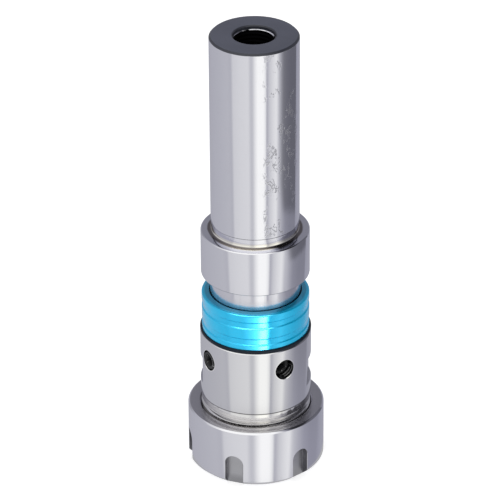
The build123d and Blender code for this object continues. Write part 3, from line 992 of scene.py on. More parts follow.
class ThreadTree(GrowthTree):
    """Winds one thread ridge with a flat-topped tooth up the Z axis, running out at its ends."""

    def __init__(self) -> None:
        """Build the tree."""
        super().__init__("thread ridge")
        root = self.take_number("Root Radius")
        tooth = self.take_number("Tooth Height")
        sink = self.take_number("Root Sink")
        foot = self.take_number("Foot Width")
        crest = self.take_number("Crest Width")
        pitch = self.take_number("Pitch")
        turns = self.take_number("Turns")
        points = self.take("Points Per Turn", "NodeSocketInt")
        run_out = self.take_number("Run-out Turns")
        sockets = {"Resolution": points, "Rotations": turns, "Start Radius": root, "End Radius": root}
        sockets = {**sockets, "Height": turns * pitch, "Reverse": True}
        spiral = self.add("GeometryNodeCurveSpiral", None, sockets)
        upright = self.add("GeometryNodeSetCurveNormal", {"mode": "Z_UP"}, {"Curve": spiral.outputs[0]})
        corners = [
            self.add("ShaderNodeCombineXYZ", sockets={"X": reach, "Y": width * side * 0.5}).outputs[0]
            for reach, width, side in (
                (sink, foot, -1),
                (sink, foot, 1),
                (tooth, crest, 1),
                (tooth, crest, -1),
            )
        ]
        sockets = {number + 7: corner for number, corner in enumerate(corners)}
        profile = self.add("GeometryNodeCurvePrimitiveQuadrilateral", {"mode": "POINTS"}, sockets)
        along = self.value(self.add("GeometryNodeSplineParameter").outputs["Factor"]) * turns
        rise = (along / run_out).math("MINIMUM", 1.0)
        fall = ((turns - along) / run_out).math("MINIMUM", 1.0)
        size = rise * fall * 0.98 + 0.02
        sockets = {"Curve": upright.outputs[0], "Profile Curve": profile.outputs[0], "Fill Caps": True}
        ridge = self.add("GeometryNodeCurveToMesh", None, {**sockets, "Scale": size})
        self.close(ridge.outputs[0])

    def wind(self, thread: "Thread", finish: bpy.types.Material) -> bpy.types.Mesh:
        """Wind a ridge that stands on z = 0."""
        inputs = {
            "Root Radius": thread.root * MM,
            "Tooth Height": thread.tooth * MM,
            "Root Sink": -math.copysign(0.12, thread.tooth) * MM,
            "Foot Width": thread.pitch * 0.9 * MM,
            "Crest Width": thread.pitch * 0.16 * MM,
            "Pitch": thread.pitch * MM,
            "Turns": thread.length / thread.pitch,
            "Points Per Turn": thread.points_per_turn,
            "Run-out Turns": 0.35,
            "Finish": finish,
        }
        return self.grow(bpy.data.meshes.new("thread"), inputs)


@dataclass(frozen=True)
class Thread:
    """A thread ridge: root radius, tooth height (less than 0 points inwards), pitch and length."""

    root: float
    tooth: float
    pitch: float
    length: float
    points_per_turn: int = 96


@dataclass
class Bench:
    """What every sub-assembly builds with."""

    dresser: Dresser
    cuts: RoundCutTree
    threads: ThreadTree

    @property
    def finishes(self) -> Finishes:
        """The chuck's finishes."""
        return self.dresser.finishes

    def ridge(self, thread: Thread, finish: Finish, place: Matrix) -> bpy.types.Mesh:
        """A thread ridge, put in its place."""
        mesh = self.threads.wind(thread, self.dresser.material(finish))
        mesh.transform(place)
        return mesh

    def piece(self, name: str, meshes: Sequence[bpy.types.Mesh], finish: Finish) -> bpy.types.Object:
        """Join meshes into one dressed piece with exact turned normals.

        Args:
            name: The piece's name.
            meshes: Its meshes, which are used up.
            finish: Its finish.

        Returns:
            The piece.
        """
        mesh = joined_mesh(name, meshes)
        mesh.materials.clear()
        mesh.materials.append(self.dresser.material(finish))
        for face in mesh.polygons:
            face.material_index = 0
        smooth_turned(mesh)
        return new_object(name, mesh)


def round_cutter(radius: float, foot: float, top: float, steps: int = SMALL_ROUND_STEPS) -> bpy.types.Mesh:
    """A standing cylinder between two heights."""
    return turned_mesh([Corner(0, foot), Corner(radius, foot), Corner(radius, top), Corner(0, top)], steps)


@dataclass
class BallGrooves:
    """Round grooves that the balls run in."""

    circle: float = 10.75
    radius: float = 2.6
    count: int = 4
    clock: float = 0.0

    def cutter(self, bottom: float, top: float) -> bpy.types.Mesh:
        """One groove's cutter."""
        mesh = round_cutter(self.radius, bottom, top, 32)
        mesh.transform(Matrix.Translation((self.circle * MM, 0.0, 0.0)))
        return mesh


@dataclass
class FloatingShank:
    """Ground shank with its relief, collar and neck tube, and the tapped rear hole."""

    radius: float = 16.0
    top: float = 171.95
    end_chamfer: float = 0.75
    foot: float = 98.75
    relief_radius: float = 15.7
    relief_fillet: float = 1.0
    collar_radius: float = 19.7
    collar_top: float = 95.25
    collar_chamfer: float = 0.4
    collar_bottom: float = 77.95
    neck_radius: float = 16.5
    neck_end: float = 58.45
    bush_bore: float = 14.0
    clip_groove: float = 14.9
    clip_bottom: float = 63.05
    clip_top: float = 64.25
    guide_bore: float = 12.0
    guide_bottom: float = 69.75
    groove_top: float = 94.55
    land_bottom: float = 117.95
    land_top: float = 122.45
    land_bore: float = 4.05
    spring_bore: float = 6.8
    thread_bottom: float = 159.45
    thread_root: float = 7.42
    thread_crest: float = 7.02
    thread_pitch: float = 1.5
    mouth_radius: float = 8.0
    mouth_depth: float = 1.55
    lead_radius: float = 7.6

    def outline(self) -> list[Corner]:
        """Half section, from the neck's end outside upwards and back down the bore."""
        mouth = self.top - self.mouth_depth
        chamfer = self.top - self.end_chamfer
        return [
            Corner(self.neck_radius - 0.4, self.neck_end),
            Corner(self.neck_radius, self.neck_end + 0.4, 0.1),
            Corner(self.neck_radius, self.collar_bottom, 0.25),
            Corner(self.collar_radius, self.collar_bottom, 0.25),
            Corner(self.collar_radius, self.collar_top - self.collar_chamfer, 0.12),
            Corner(self.collar_radius - self.collar_chamfer, self.collar_top, 0.12),
            Corner(self.relief_radius, self.collar_top, self.relief_fillet),
            Corner(self.relief_radius, self.foot, 0.05),
            Corner(self.radius, self.foot, 0.22),
            Corner(self.radius, chamfer, 0.12),
            Corner(self.radius - self.end_chamfer, self.top, 0.1),
            Corner(self.mouth_radius, self.top, 0.12),
            Corner(self.lead_radius, self.top - 0.45, 0.06),
            Corner(self.lead_radius, mouth, 0.06),
            Corner(self.thread_root, mouth - 0.2),
            Corner(self.thread_root, self.thread_bottom),
            Corner(self.spring_bore, self.thread_bottom, 0.08),
            Corner(self.spring_bore, self.land_top),
            Corner(self.land_bore, self.land_top, 0.1),
            Corner(self.land_bore, self.land_bottom, 0.1),
            Corner(self.guide_bore, self.land_bottom),
            Corner(self.guide_bore, self.guide_bottom),
            Corner(self.bush_bore, self.guide_bottom),
            Corner(self.bush_bore, self.clip_top),
            Corner(self.clip_groove, self.clip_top),
            Corner(self.clip_groove, self.clip_bottom),
            Corner(self.bush_bore, self.clip_bottom),
            Corner(self.bush_bore, self.neck_end + 0.4),
            Corner(self.bush_bore + 0.4, self.neck_end),
        ]

    def build(self, bench: Bench, grooves: BallGrooves) -> None:
        """Build, dress and hand over the shank."""
        finish = bench.finishes.shank
        material = bench.dresser.material(finish)
        cutter = grooves.cutter(self.guide_bottom - 0.02, self.groove_top)
        body = bench.cuts.cut(turned_mesh(self.outline()), cutter, grooves.count, grooves.clock, material)
        length = self.top - self.mouth_depth - self.thread_bottom
        thread = Thread(self.thread_root, self.thread_crest - self.thread_root, self.thread_pitch, length)
        ridge = bench.ridge(thread, finish, Matrix.Translation((0, 0, self.thread_bottom * MM)))
        piece = bench.piece("shank_and_collar", [body, ridge], finish)
        bench.dresser.hand_over(piece, "shank", finish, "shank_body")


@dataclass
class SideScrews:
    """The four side screws: clock angle and sink of each, and their common sizes."""

    height: float = 45.85
    hole_radius: float = 3.85
    hole_crest: float = 3.64
    pitch: float = 1.25
    mouth: float = 0.2
    hole_foot: float = 4.0
    radius: float = 3.6
    core: float = 3.22
    length: float = 8.0
    hexagon: float = 4.0
    hexagon_depth: float = 4.0
    point_depth: float = 0.8
    places: tuple[tuple[str, float, float], ...] = (
        ("left", 215.5, 0.2),
        ("right", -54.5, 3.25),
        ("back_left", 125.5, 1.85),
        ("back_right", 35.5, 1.35),
    )
    first_clock: float = 35.5

    def hole_cutter(self, barrel_radius: float) -> bpy.types.Mesh:
        """The hole and its eased mouth at clock 0."""
        beyond = 2.0
        reach = barrel_radius - self.hole_foot
        corners = [
            Corner(0, 0),
            Corner(self.hole_radius, 0),
            Corner(self.hole_radius, reach - self.mouth),
            Corner(self.hole_radius + self.mouth, reach),
            Corner(self.hole_radius + self.mouth + beyond, reach + beyond),
            Corner(0, reach + beyond),
        ]
        mesh = turned_mesh(corners, SMALL_ROUND_STEPS)
        mesh.transform(across(0.0, self.hole_foot, self.height))
        return mesh

    def hole_ridges(
        self, bench: Bench, finish: Finish, barrel_radius: float, start: float
    ) -> list[bpy.types.Mesh]:
        """The ridge inside each hole."""
        length = barrel_radius - start - self.mouth - 0.5
        thread = Thread(self.hole_radius, self.hole_crest - self.hole_radius, self.pitch, length, 64)
        return [
            bench.ridge(thread, finish, across(clock, start, self.height)) for _, clock, _ in self.places
        ]

    def screw_meshes(self, bench: Bench, finish: Finish) -> list[bpy.types.Mesh]:
        """One screw that stands on its cup point."""
        top = self.length
        core = [
            Corner(0, self.point_depth),
            Corner(self.core - 2 * self.point_depth, self.point_depth),
            Corner(self.core - self.point_depth, 0.0, 0.05),
            Corner(self.core, self.point_depth),
            Corner(self.core, top - 0.9),
            Corner(self.radius - 0.06, top - 0.5, 0.06),
            Corner(self.radius - 0.5, top, 0.06),
            Corner(0, top),
        ]
        tool = hexagon_prism(self.hexagon, top - self.hexagon_depth, top + 1.0)
        material = bench.dresser.material(finish)
        body = bench.cuts.cut(turned_mesh(core, SMALL_ROUND_STEPS), tool, 1, 0.0, material)
        body = bench.cuts.cut(body, round_lead(self.hexagon, top), 1, 0.0, material)
        thread = Thread(self.core, self.radius - self.core, self.pitch, top - 1.4, 64)
        return [body, bench.ridge(thread, finish, Matrix.Translation((0, 0, 0.7 * MM)))]

    def build(self, bench: Bench, barrel_radius: float) -> None:
        """Build, dress and hand over the four screws."""
        finish = bench.finishes.oxide
        for name, clock, sink in self.places:
            meshes = self.screw_meshes(bench, finish)
            place = across(clock, barrel_radius - sink - self.length, self.height)
            for mesh in meshes:
                mesh.transform(place)
            piece = bench.piece("side_screw_" + name, meshes, finish)
            smooth_plain(piece.data)
            bench.dresser.hand_over(piece, "set_screw_" + name, finish, "set_screw_" + name)


def hexagon_prism(across_flats: float, bottom: float, top: float) -> bpy.types.Mesh:
    """The prism that a hexagon socket is cut with."""
    reach = across_flats / math.sqrt(3)
    turns = [math.radians(60 * number) for number in range(6)]
    return prism_mesh([(reach * math.cos(turn), reach * math.sin(turn)) for turn in turns], bottom, top)


def round_lead(hexagon: float, top: float) -> bpy.types.Mesh:
    """The countersink that leads a key into a hexagon socket."""
    corner = hexagon / math.sqrt(3)
    rise = corner + 0.12 - hexagon / 2
    corners = [
        Corner(0, top - rise),
        Corner(hexagon / 2 - 0.02, top - rise),
        Corner(corner + 0.1, top),
        Corner(corner + 0.6, top + 0.5),
        Corner(0, top + 0.5),
    ]
    return turned_mesh(corners, SMALL_ROUND_STEPS)


@dataclass
class ChuckHead:
    """Collet socket, threaded end, barrel with its flats and side holes, spigot and spindle."""

    socket_radius: float = 16.0
    socket_end_radius: float = 11.64
    socket_face: float = 9.05
    socket_end: float = 40.05
    thread_root: float = 19.05
    thread_crest: float = 19.98
    thread_pitch: float = 1.5
    thread_top: float = 25.85
    undercut: float = 0.35
    band_radius: float = 20.0
    barrel_radius: float = 20.25
    barrel_bottom: float = 28.55
    barrel_top: float = 54.05
    spigot_radius: float = 18.1
    spigot_top: float = 65.65
    pocket_radius: float = 16.9
    pocket_floor: float = 51.15
    base_radius: float = 13.5
    base_shoulder: float = 53.55
    base_top: float = 55.55
    spindle_radius: float = 9.5
    spindle_top: float = 94.55
    bolt_hole_radius: float = 4.05
    bolt_hole_bottom: float = 76.45
    chamber_radius: float = 10.5
    chamber_top: float = 50.35
    flat_reach: float = 19.0
    flat_bottom: float = 33.55
    flat_top: float = 44.05
    groove_bottom: float = 69.75

    def outline(self) -> list[Corner]:
        """Half section from the socket's face outside upwards, down the bolt hole and back."""
        return [
            Corner(self.socket_radius, self.socket_face, 0.15),
            Corner(self.thread_root - 0.5, self.socket_face, 0.1),
            Corner(self.thread_root, self.socket_face + 0.5),
            Corner(self.thread_root, self.thread_top),
            Corner(self.band_radius, self.thread_top, 0.2),
            Corner(self.band_radius, self.barrel_bottom, 0.04),
            Corner(self.barrel_radius, self.barrel_bottom, 0.3),
            Corner(self.barrel_radius, self.barrel_top - 0.4, 0.12),
            Corner(self.barrel_radius - 0.4, self.barrel_top, 0.12),
            Corner(self.spigot_radius, self.barrel_top, 0.1),
            Corner(self.spigot_radius, self.spigot_top, 0.15),
            Corner(self.pocket_radius, self.spigot_top, 0.15),
            Corner(self.pocket_radius, self.pocket_floor, 0.2),
            Corner(self.base_radius, self.pocket_floor),
            Corner(self.base_radius, self.base_shoulder, 0.15),
            Corner(self.spindle_radius, self.base_top, 0.3),
            Corner(self.spindle_radius, self.spindle_top - 0.4),
            Corner(self.spindle_radius - 0.4, self.spindle_top),
            Corner(self.bolt_hole_radius, self.spindle_top, 0.1),
            Corner(self.bolt_hole_radius, self.bolt_hole_bottom),
            Corner(0, self.bolt_hole_bottom),
            Corner(0, self.chamber_top),
            Corner(self.chamber_radius, self.chamber_top),
            Corner(self.chamber_radius, self.socket_end, 0.1),
            Corner(self.socket_end_radius, self.socket_end, 0.1),
        ]

    def flat_cutter(self) -> bpy.types.Mesh:
        """The block that one wrench flat is milled with, at clock 0."""
        edge, beyond, half = 0.12, 6.0, 12.0
        low, high = self.flat_bottom, self.flat_top

        def loop(reach: float, grow: float) -> list[tuple[float, float, float]]:
            """One loop of the block at a reach from the axis."""
            return [
                (reach, -half, low - grow),
                (reach, half, low - grow),
                (reach, half, high + grow),
                (reach, -half, high + grow),
            ]

        return lofted_mesh(
            [
                loop(self.flat_reach, 0.0),
                loop(self.barrel_radius - edge, 0.0),
                loop(self.barrel_radius, edge),
                loop(self.barrel_radius + beyond, edge + beyond),
            ]
        )

    def build(self, bench: Bench, screws: SideScrews, grooves: BallGrooves) -> None:
        """Build, dress and hand over the head."""
        finish = bench.finishes.head
        material = bench.dresser.material(finish)
        body = turned_mesh(self.outline())
        cutter = grooves.cutter(self.groove_bottom, self.spindle_top + 1)
        body = bench.cuts.cut(body, cutter, grooves.count, grooves.clock, material)
        count = len(screws.places)
        cutter = screws.hole_cutter(self.barrel_radius)
        body = bench.cuts.cut(body, cutter, count, screws.first_clock, material)
        body = bench.cuts.cut(body, self.flat_cutter(), 2, 0.0, material)
        length = self.thread_top - self.socket_face - self.undercut - 0.4
        tooth = self.thread_crest - self.thread_root
        thread = Thread(self.thread_root, tooth, self.thread_pitch, length, 128)
        ridge = bench.ridge(thread, finish, Matrix.Translation((0, 0, (self.socket_face + 0.4) * MM)))
        ridges = screws.hole_ridges(bench, finish, self.barrel_radius, self.chamber_radius + 0.3)
        piece = bench.piece("chuck_head_barrel", [body, ridge, *ridges], finish)
        bench.dresser.hand_over(piece, "chuck_head", finish, "chuck_body")


@dataclass
class ClampingNut:
    """Slotted nut and the thrust ring that it holds."""

    radius: float = 25.0
    length: float = 23.3
    foot_chamfer: float = 2.4
    foot_rise: float = 2.15
    top_chamfer: float = 0.65
    mouth_radius: float = 14.4
    lip_height: float = 1.8
    seat_radius: float = 18.5
    hold_radius: float = 18.2
    hold_bottom: float = 7.7
    thread_bottom: float = 8.3
    bore_radius: float = 20.06
    countersink: float = 0.7
    slot_count: int = 6
    slot_width: float = 6.8
    slot_height: float = 12.7
    slot_reach: float = 22.3
    slot_clock: float = -45.3
    slot_edge: float = 0.16
    slot_arc_steps: int = 24
    ring_radius: float = 18.45
    ring_mouth: float = 14.0
    ring_bottom: float = 1.85
    ring_top: float = 7.65
    ring_cone: float = 17.349

    def outline(self) -> list[Corner]:
        """Half section from the foot's mouth outwards, up and back down the bore."""
        return [
            Corner(self.mouth_radius, 0.0, 0.2),
            Corner(self.radius - self.foot_chamfer, 0.0, 0.15),
            Corner(self.radius, self.foot_rise, 0.15),
            Corner(self.radius, self.length - self.top_chamfer, 0.12),
            Corner(self.radius - self.top_chamfer, self.length, 0.12),
            Corner(self.bore_radius + self.countersink, self.length, 0.1),
            Corner(self.bore_radius, self.length - self.countersink),
            Corner(self.bore_radius, self.thread_bottom),
            Corner(self.hold_radius, self.thread_bottom),
            Corner(self.hold_radius, self.hold_bottom),
            Corner(self.seat_radius, self.hold_bottom),
            Corner(self.seat_radius, self.lip_height),
            Corner(self.mouth_radius, self.lip_height, 0.2),
        ]

    def slot_outline(self, grow: float) -> list[tuple[float, float]]:
        """Outline of a slot across and up, with a round top, grown by an amount."""
        half = self.slot_width / 2 + grow
        straight = self.slot_height - self.slot_width / 2
        spots = [(-half, -2.0), (half, -2.0)]
        for step in range(self.slot_arc_steps + 1):
            turn = math.pi * step / self.slot_arc_steps
            spots.append((half * math.cos(turn), straight + half * math.sin(turn)))
        return spots

    def slot_cutter(self) -> bpy.types.Mesh:
        """One slot's cutter at clock 0, flared at the surface so that its edge is eased."""

        def loop(reach: float, grow: float, rounded: bool) -> list[tuple[float, float, float]]:
            """One loop of the cutter, flat or lying on a cylinder."""
            spots = self.slot_outline(grow)
            return [
                (math.sqrt(reach ** 2 - side ** 2) if rounded else reach, side, height)
                for side, height in spots
            ]

        return lofted_mesh(
            [
                loop(self.slot_reach, 0.0, False),
                loop(self.radius - self.slot_edge, 0.0, True),
                loop(self.radius + 0.01, self.slot_edge, True),
                loop(self.radius + 2.0, self.slot_edge, True),
            ]
        )

    def build(self, bench: Bench) -> None:
        """Build, dress and hand over the nut and its ring."""
        finish = bench.finishes.nut
        material = bench.dresser.material(finish)
        blank = turned_mesh(self.outline())
        body = bench.cuts.cut(blank, self.slot_cutter(), self.slot_count, self.slot_clock, material)
        piece = bench.piece("slotted_clamping_nut", [body], finish)
        bench.dresser.hand_over(piece, "clamping_nut", finish, "clamping_nut")
        ring = turned_mesh(
            [
                Corner(self.ring_mouth, self.ring_bottom, 0.15),
                Corner(self.ring_radius, self.ring_bottom, 0.15),
                Corner(self.ring_radius, self.ring_top, 0.15),
                Corner(self.ring_cone, self.ring_top, 0.1),
            ]
        )
        finish = bench.finishes.washer
        piece = bench.piece("nut_thrust_cone", [ring], finish)
        bench.dresser.hand_over(piece, "thrust_ring", finish, "nut_thrust_ring")


@dataclass
class CoverSleeve:
    """Blue cover ring, the rubber ring under it and the wiper inside its lip."""

    outer: float = 19.6
    bore: float = 18.12
    lip: float = 16.85
    bottom: float = 55.35
    top: float = 70.25
    rim_top: float = 69.6
    lip_top: float = 70.0
    seal_top: float = 67.75
    chamfer: float = 0.3
    foot_chamfer: float = 0.08
    groove_depth: float = 0.45
    groove_flank: float = 0.45
    groove_width: float = 2.9
    groove_drops: tuple[float, ...] = (3.5, 10.3)
    cord_inner: float = 18.12
    cord_outer: float = 20.3
    cord_bottom: float = 54.05
    cord_top: float = 55.35
    wiper_tip: float = 16.6
    wiper_bottom: float = 65.67
    wiper_top: float = 67.73
    wiper_outer: float = 18.1

    def groove(self, drop: float) -> list[Corner]:
        """Corners of one groove, from its lower edge upwards."""
        high = self.top - drop
        low = high - self.groove_width
        floor = self.outer - self.groove_depth
        return [
            Corner(self.outer, low, 0.1),
            Corner(floor, low + self.groove_flank, 0.12),
            Corner(floor, high - self.groove_flank, 0.12),
            Corner(self.outer, high, 0.1),
        ]

    def outline(self) -> list[Corner]:
        """Half section of the sleeve."""
        corners = [
            Corner(self.bore, self.bottom),
            Corner(self.outer - self.foot_chamfer, self.bottom),
            Corner(self.outer, self.bottom + self.foot_chamfer),
        ]
        for drop in sorted(self.groove_drops, reverse=True):
            corners += self.groove(drop)
        return corners + [
            Corner(self.outer, self.rim_top - self.chamfer, 0.12),
            Corner(self.outer - self.chamfer, self.rim_top, 0.12),
            Corner(self.lip, self.lip_top, 0.1),
            Corner(self.lip, self.seal_top),
            Corner(self.bore, self.seal_top),
        ]

    def build(self, bench: Bench) -> bpy.types.Object:
        """Build, dress and hand over the three rings, and return the blue one."""
        finish = bench.finishes.blue
        sleeve = bench.piece("blue_cover_sleeve", [turned_mesh(self.outline())], finish)
        bench.dresser.hand_over(sleeve, "chuck_head", finish, "cover_sleeve")
        finish = bench.finishes.rubber
        bulge = (self.cord_top - self.cord_bottom) / 2
        cord = turned_mesh(
            [
                Corner(self.cord_inner, self.cord_bottom),
                Corner(self.cord_outer, self.cord_bottom, bulge),
                Corner(self.cord_outer, self.cord_top, bulge - 0.001),
                Corner(self.cord_inner, self.cord_top),
            ]
        )
        piece = bench.piece("rubber_body_ring", [cord], finish)
        bench.dresser.hand_over(piece, "chuck_head", finish, "body_o_ring")
        root = self.wiper_tip + 0.4
        valley = self.wiper_top - 1.2
        wiper = turned_mesh(
            [
                Corner(root, self.wiper_bottom, 0.1),
                Corner(self.wiper_outer, self.wiper_bottom),
                Corner(self.wiper_outer, self.wiper_top, 0.1),
                Corner(root + 0.6, self.wiper_top, 0.08),
                Corner(root + 0.3, valley, 0.08),
                Corner(self.wiper_tip + 0.3, self.wiper_top, 0.05),
                Corner(self.wiper_tip, self.wiper_top, 0.05),
                Corner(root, valley, 0.1),
            ]
        )
        piece = bench.piece("rubber_wiper", [wiper], finish)
        bench.dresser.hand_over(piece, "chuck_head", finish, "wiper_seal")
        return sleeve


@dataclass
class LimitBolt:
    """Socket head cap screw that ties the spindle to the tension spring."""

    radius: float = 4.0
    core: float = 3.4
    pitch: float = 1.25
    thread_length: float = 14.0
    head_radius: float = 6.5
    head_bottom: float = 143.45
    head_top: float = 151.45
    end: float = 78.45
    hexagon: float = 6.0
    hexagon_depth: float = 4.0

    def build(self, bench: Bench) -> None:
        """Build, dress and hand over the bolt."""
        finish = bench.finishes.oxide
        material = bench.dresser.material(finish)
        corners = [
            Corner(0, self.end),
            Corner(self.core - 0.5, self.end, 0.1),
            Corner(self.core, self.end + 0.5),
            Corner(self.core, self.end + self.thread_length),
            Corner(self.radius, self.end + self.thread_length + 0.6),
            Corner(self.radius, self.head_bottom, 0.3),
            Corner(self.head_radius, self.head_bottom, 0.2),
            Corner(self.head_radius, self.head_top, 0.7),
            Corner(0, self.head_top),
        ]
        tool = hexagon_prism(self.hexagon, self.head_top - self.hexagon_depth, self.head_top + 1.0)
        body = bench.cuts.cut(turned_mesh(corners, SMALL_ROUND_STEPS), tool, 1, 0.0, material)
        body = bench.cuts.cut(body, round_lead(self.hexagon, self.head_top), 1, 0.0, material)
        thread = Thread(self.core, self.radius - self.core - 0.02, self.pitch, self.thread_length - 0.6, 48)
        ridge = bench.ridge(thread, finish, Matrix.Translation((0, 0, (self.end + 0.5) * MM)))
        piece = bench.piece("float_limit_bolt", [body, ridge], finish)
        bench.dresser.hand_over(piece, "chuck_head", finish, "limit_bolt")


@dataclass
class HiddenPieces:
    """Pieces inside: two springs made from nodes of the frame, and nodes of the frame with a finish."""

    nodes: dict[str, bpy.types.Object]

    def build_spring(self, bench: Bench, name: str, node: str, below: str, above: str) -> None:
        """Build a spring from a merged, smooth copy of its node's mesh, and hide the node.

        Args:
            bench: The tools and finishes.
            name: The piece's name.
            node: The node that it stands for.
            below: The body at its lower end.
            above: The body at its upper end.
        """
        finish = bench.finishes.spring
        mesh = merged_copy(self.nodes[node].data, name)
        mesh.materials.clear()
        mesh.materials.append(bench.dresser.material(finish))
        smooth_plain(mesh)
        piece = new_object(name, mesh)
        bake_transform(piece)
        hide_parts(node)
        log.info("piece %s: %d faces from %s to %s", name, len(mesh.polygons), below, above)

    def build(self, bench: Bench) -> None:
        """Dress every node of the inside and build the two springs."""
        finishes = bench.finishes
        worn = {
            "front_guide_bush": finishes.bronze,
            "bush_circlip": finishes.oxide,
            "ball_cage": finishes.brass,
            "torque_balls": finishes.ball,
            "spindle_guide_collar": finishes.bronze,
            "compression_spring_seat": finishes.washer,
            "tension_spring_seat": finishes.washer,
            "bolt_washer": finishes.washer,
        }
        for name, finish in worn.items():
            bench.dresser.dress_node(self.nodes[name], finish)
        self.build_spring(bench, "float_compression_spring", "compression_spring", "chuck_head", "shank")
        self.build_spring(bench, "float_tension_spring", "tension_spring", "shank", "chuck_head")


@dataclass(frozen=True)
class LightBand:
    """One stop of the light round the chuck: degrees to the right of the camera and brightness."""

    turn: float
    level: float


@dataclass
class Studio:
    """White paper floor, soft light all round with cards and gaps in it, and the camera.

    Lengths are in millimetres, and turns in degrees to the right of the camera.
    """

    camera_turn: float = 4.1
    camera_place: tuple[float, float, float] = (77.07, -1101.63, 702.35)
    camera_pitch: float = 29.17
    camera_roll: float = -0.34
    lens: float = 252.48
    sensor_width: float = 36.0
    clip_start: float = 0.01
    clip_end: float = 100.0
    most_blue: float = 1.16
    floor_colour: Colour = (0.93, 0.93, 0.93)
    floor_glow: float = 0.6
    floor_half: float = 12000.0
    soft_low: Colour = (1.0, 1.0, 1.0)
    soft_high: Colour = (0.45, 0.45, 0.45)
    key_size: tuple[float, float] = (1200.0, 900.0)
    key_place: tuple[float, float, float] = (-250.0, -100.0, 1100.0)
    key_tilt: float = -12.0
    key_energy: float = 1.2
    film_reach: float = 150.0
    film_turns: tuple[float, float] = (56.0, 125.0)
    film_heights: tuple[float, float] = (-420.0, 420.0)
    strip_reach: float = 60.0
    back_loss: float = 0.33
    nadir_loss: float = 0.75
    glint_level: float = 8.5
    glint_turns: tuple[float, float] = (-24.0, 25.0)
    glint_heights: tuple[float, float] = (27.0, 50.0)
    edge_light_level: float = 4.0
    edge_light_turns: tuple[float, float] = (-62.0, 40.0)
    edge_light_heights: tuple[float, float] = (112.0, 160.0)
    foot_paper_radius: float = 27.5
    foot_paper_level: float = 0.5
    low_bands: tuple[LightBand, ...] = (
        LightBand(-180, 0.40),
        LightBand(-168, 0.45),
        LightBand(-152, 0.47),
        LightBand(-128, 0.53),
        LightBand(-96, 0.57),
        LightBand(-72, 0.6),
        LightBand(-61, 0.57),
        LightBand(-56, 0.78),
        LightBand(-40, 0.83),
        LightBand(-16, 0.87),
        LightBand(-9, 0.66),
        LightBand(-5, 0.7),
        LightBand(1, 1.0),
        LightBand(8, 1.22),
        LightBand(22, 1.22),
        LightBand(28, 1.0),
        LightBand(31, 0.5),
        LightBand(38, 0.74),
        LightBand(48, 0.9),
        LightBand(57, 1.0),
        LightBand(65, 0.66),
        LightBand(74, 0.54),
        LightBand(88, 0.41),
        LightBand(104, 0.35),
        LightBand(126, 0.34),
        LightBand(132, 0.38),
        LightBand(150, 0.41),
        LightBand(168, 0.38),
        LightBand(180, 0.40),
    )
    high_bands: tuple[LightBand, ...] = (
        LightBand(-180, 0.27),
        LightBand(-145, 0.3),
        LightBand(-110, 0.7),
        LightBand(-85, 0.9),
        LightBand(-65, 1.25),
        LightBand(40, 1.25),
        LightBand(52, 0.8),
        LightBand(62, 0.3),
        LightBand(72, 0.05),
        LightBand(135, 0.05),
        LightBand(155, 0.2),
        LightBand(180, 0.27),
    )

    def band_ramp(self, nodes: Nodes, turn: Value, bands: Sequence[LightBand]) -> bpy.types.NodeSocket:
        """A ramp of brightness over the turn from -180 to 180 degrees, bluer where it is dim."""
        top = max(band.level for band in bands) * self.most_blue
        stops = []
        for band in bands:
            blue = min(self.most_blue, 0.85 + 0.118 / band.level)
            stops.append(((band.turn + 180) / 360, shaded((1.0, 1.0, blue), band.level / top)))
        ramp = nodes.add("ShaderNodeValToRGB", {"stops": stops}, {0: turn / 360 + 0.5})
        return nodes.scaled(ramp.outputs[0], top)

    def build_world(self) -> None:
        """Light that surrounds the chuck."""
        world = bpy.data.worlds.new("studio light")
        world.use_nodes = True
        bpy.context.scene.world = world
        nodes = Nodes(world.node_tree)
        world.node_tree.nodes.clear()
        way = nodes.add("ShaderNodeTexCoord").outputs["Generated"]
        east, north, up = (
            nodes.value(socket) for socket in nodes.add("ShaderNodeSeparateXYZ", sockets={0: way}).outputs
        )
        sine, cosine = math.sin(math.radians(self.camera_turn)), math.cos(math.radians(self.camera_turn))
        rightward = east * cosine + north * sine
        frontward = east * sine - north * cosine
        turn = rightward.math("ARCTAN2", frontward) * math.degrees(1)
        low = self.band_ramp(nodes, turn, self.low_bands)
        high = self.band_ramp(nodes, turn, self.high_bands)
        back = turn.math("ABSOLUTE").between(118, 138) * up.between(0.0, 0.2)
        nadir = 1 - up.between(-0.78, -0.6)
        level = (1 - back * self.back_loss) * (1 - nadir * self.nadir_loss)
        seen = nodes.mix(up.between(0.5, 0.6), nodes.scaled(low, level), high)
        soft = nodes.mix(up.between(0.1, 0.8), self.soft_low, self.soft_high)
        glossy = nodes.add("ShaderNodeLightPath").outputs["Is Glossy Ray"]
        colour = nodes.mix(glossy, soft, seen)
        background = nodes.add("ShaderNodeBackground", None, {"Color": colour, "Strength": 1.0})
        nodes.add("ShaderNodeOutputWorld", None, {0: background.outputs[0]})

    def build_floor(self) -> None:
        """White paper that the chuck stands on."""
        nodes = FinishNodes("white paper")
        grain = nodes.noise((500.0, 500.0, 500.0), detail=2.0)
        colour = nodes.mix(grain, shaded(self.floor_colour, 0.995), self.floor_colour)
        glow = {"Emission Color": (1.0, 1.0, 1.0, 1.0), "Emission Strength": self.floor_glow}
        material = nodes.finish(colour, grain * 0.1 + 0.8, 0.0, fixed=glow)
        half = self.floor_half * MM
        mesh = bpy.data.meshes.new("paper_floor")
        corners = [(-half, -half, 0.0), (half, -half, 0.0), (half, half, 0.0), (-half, half, 0.0)]
        mesh.from_pydata(corners, [], [(0, 1, 2, 3)])
        mesh.materials.append(material)
        floor = new_object("paper_floor", mesh)
        floor.visible_glossy = False

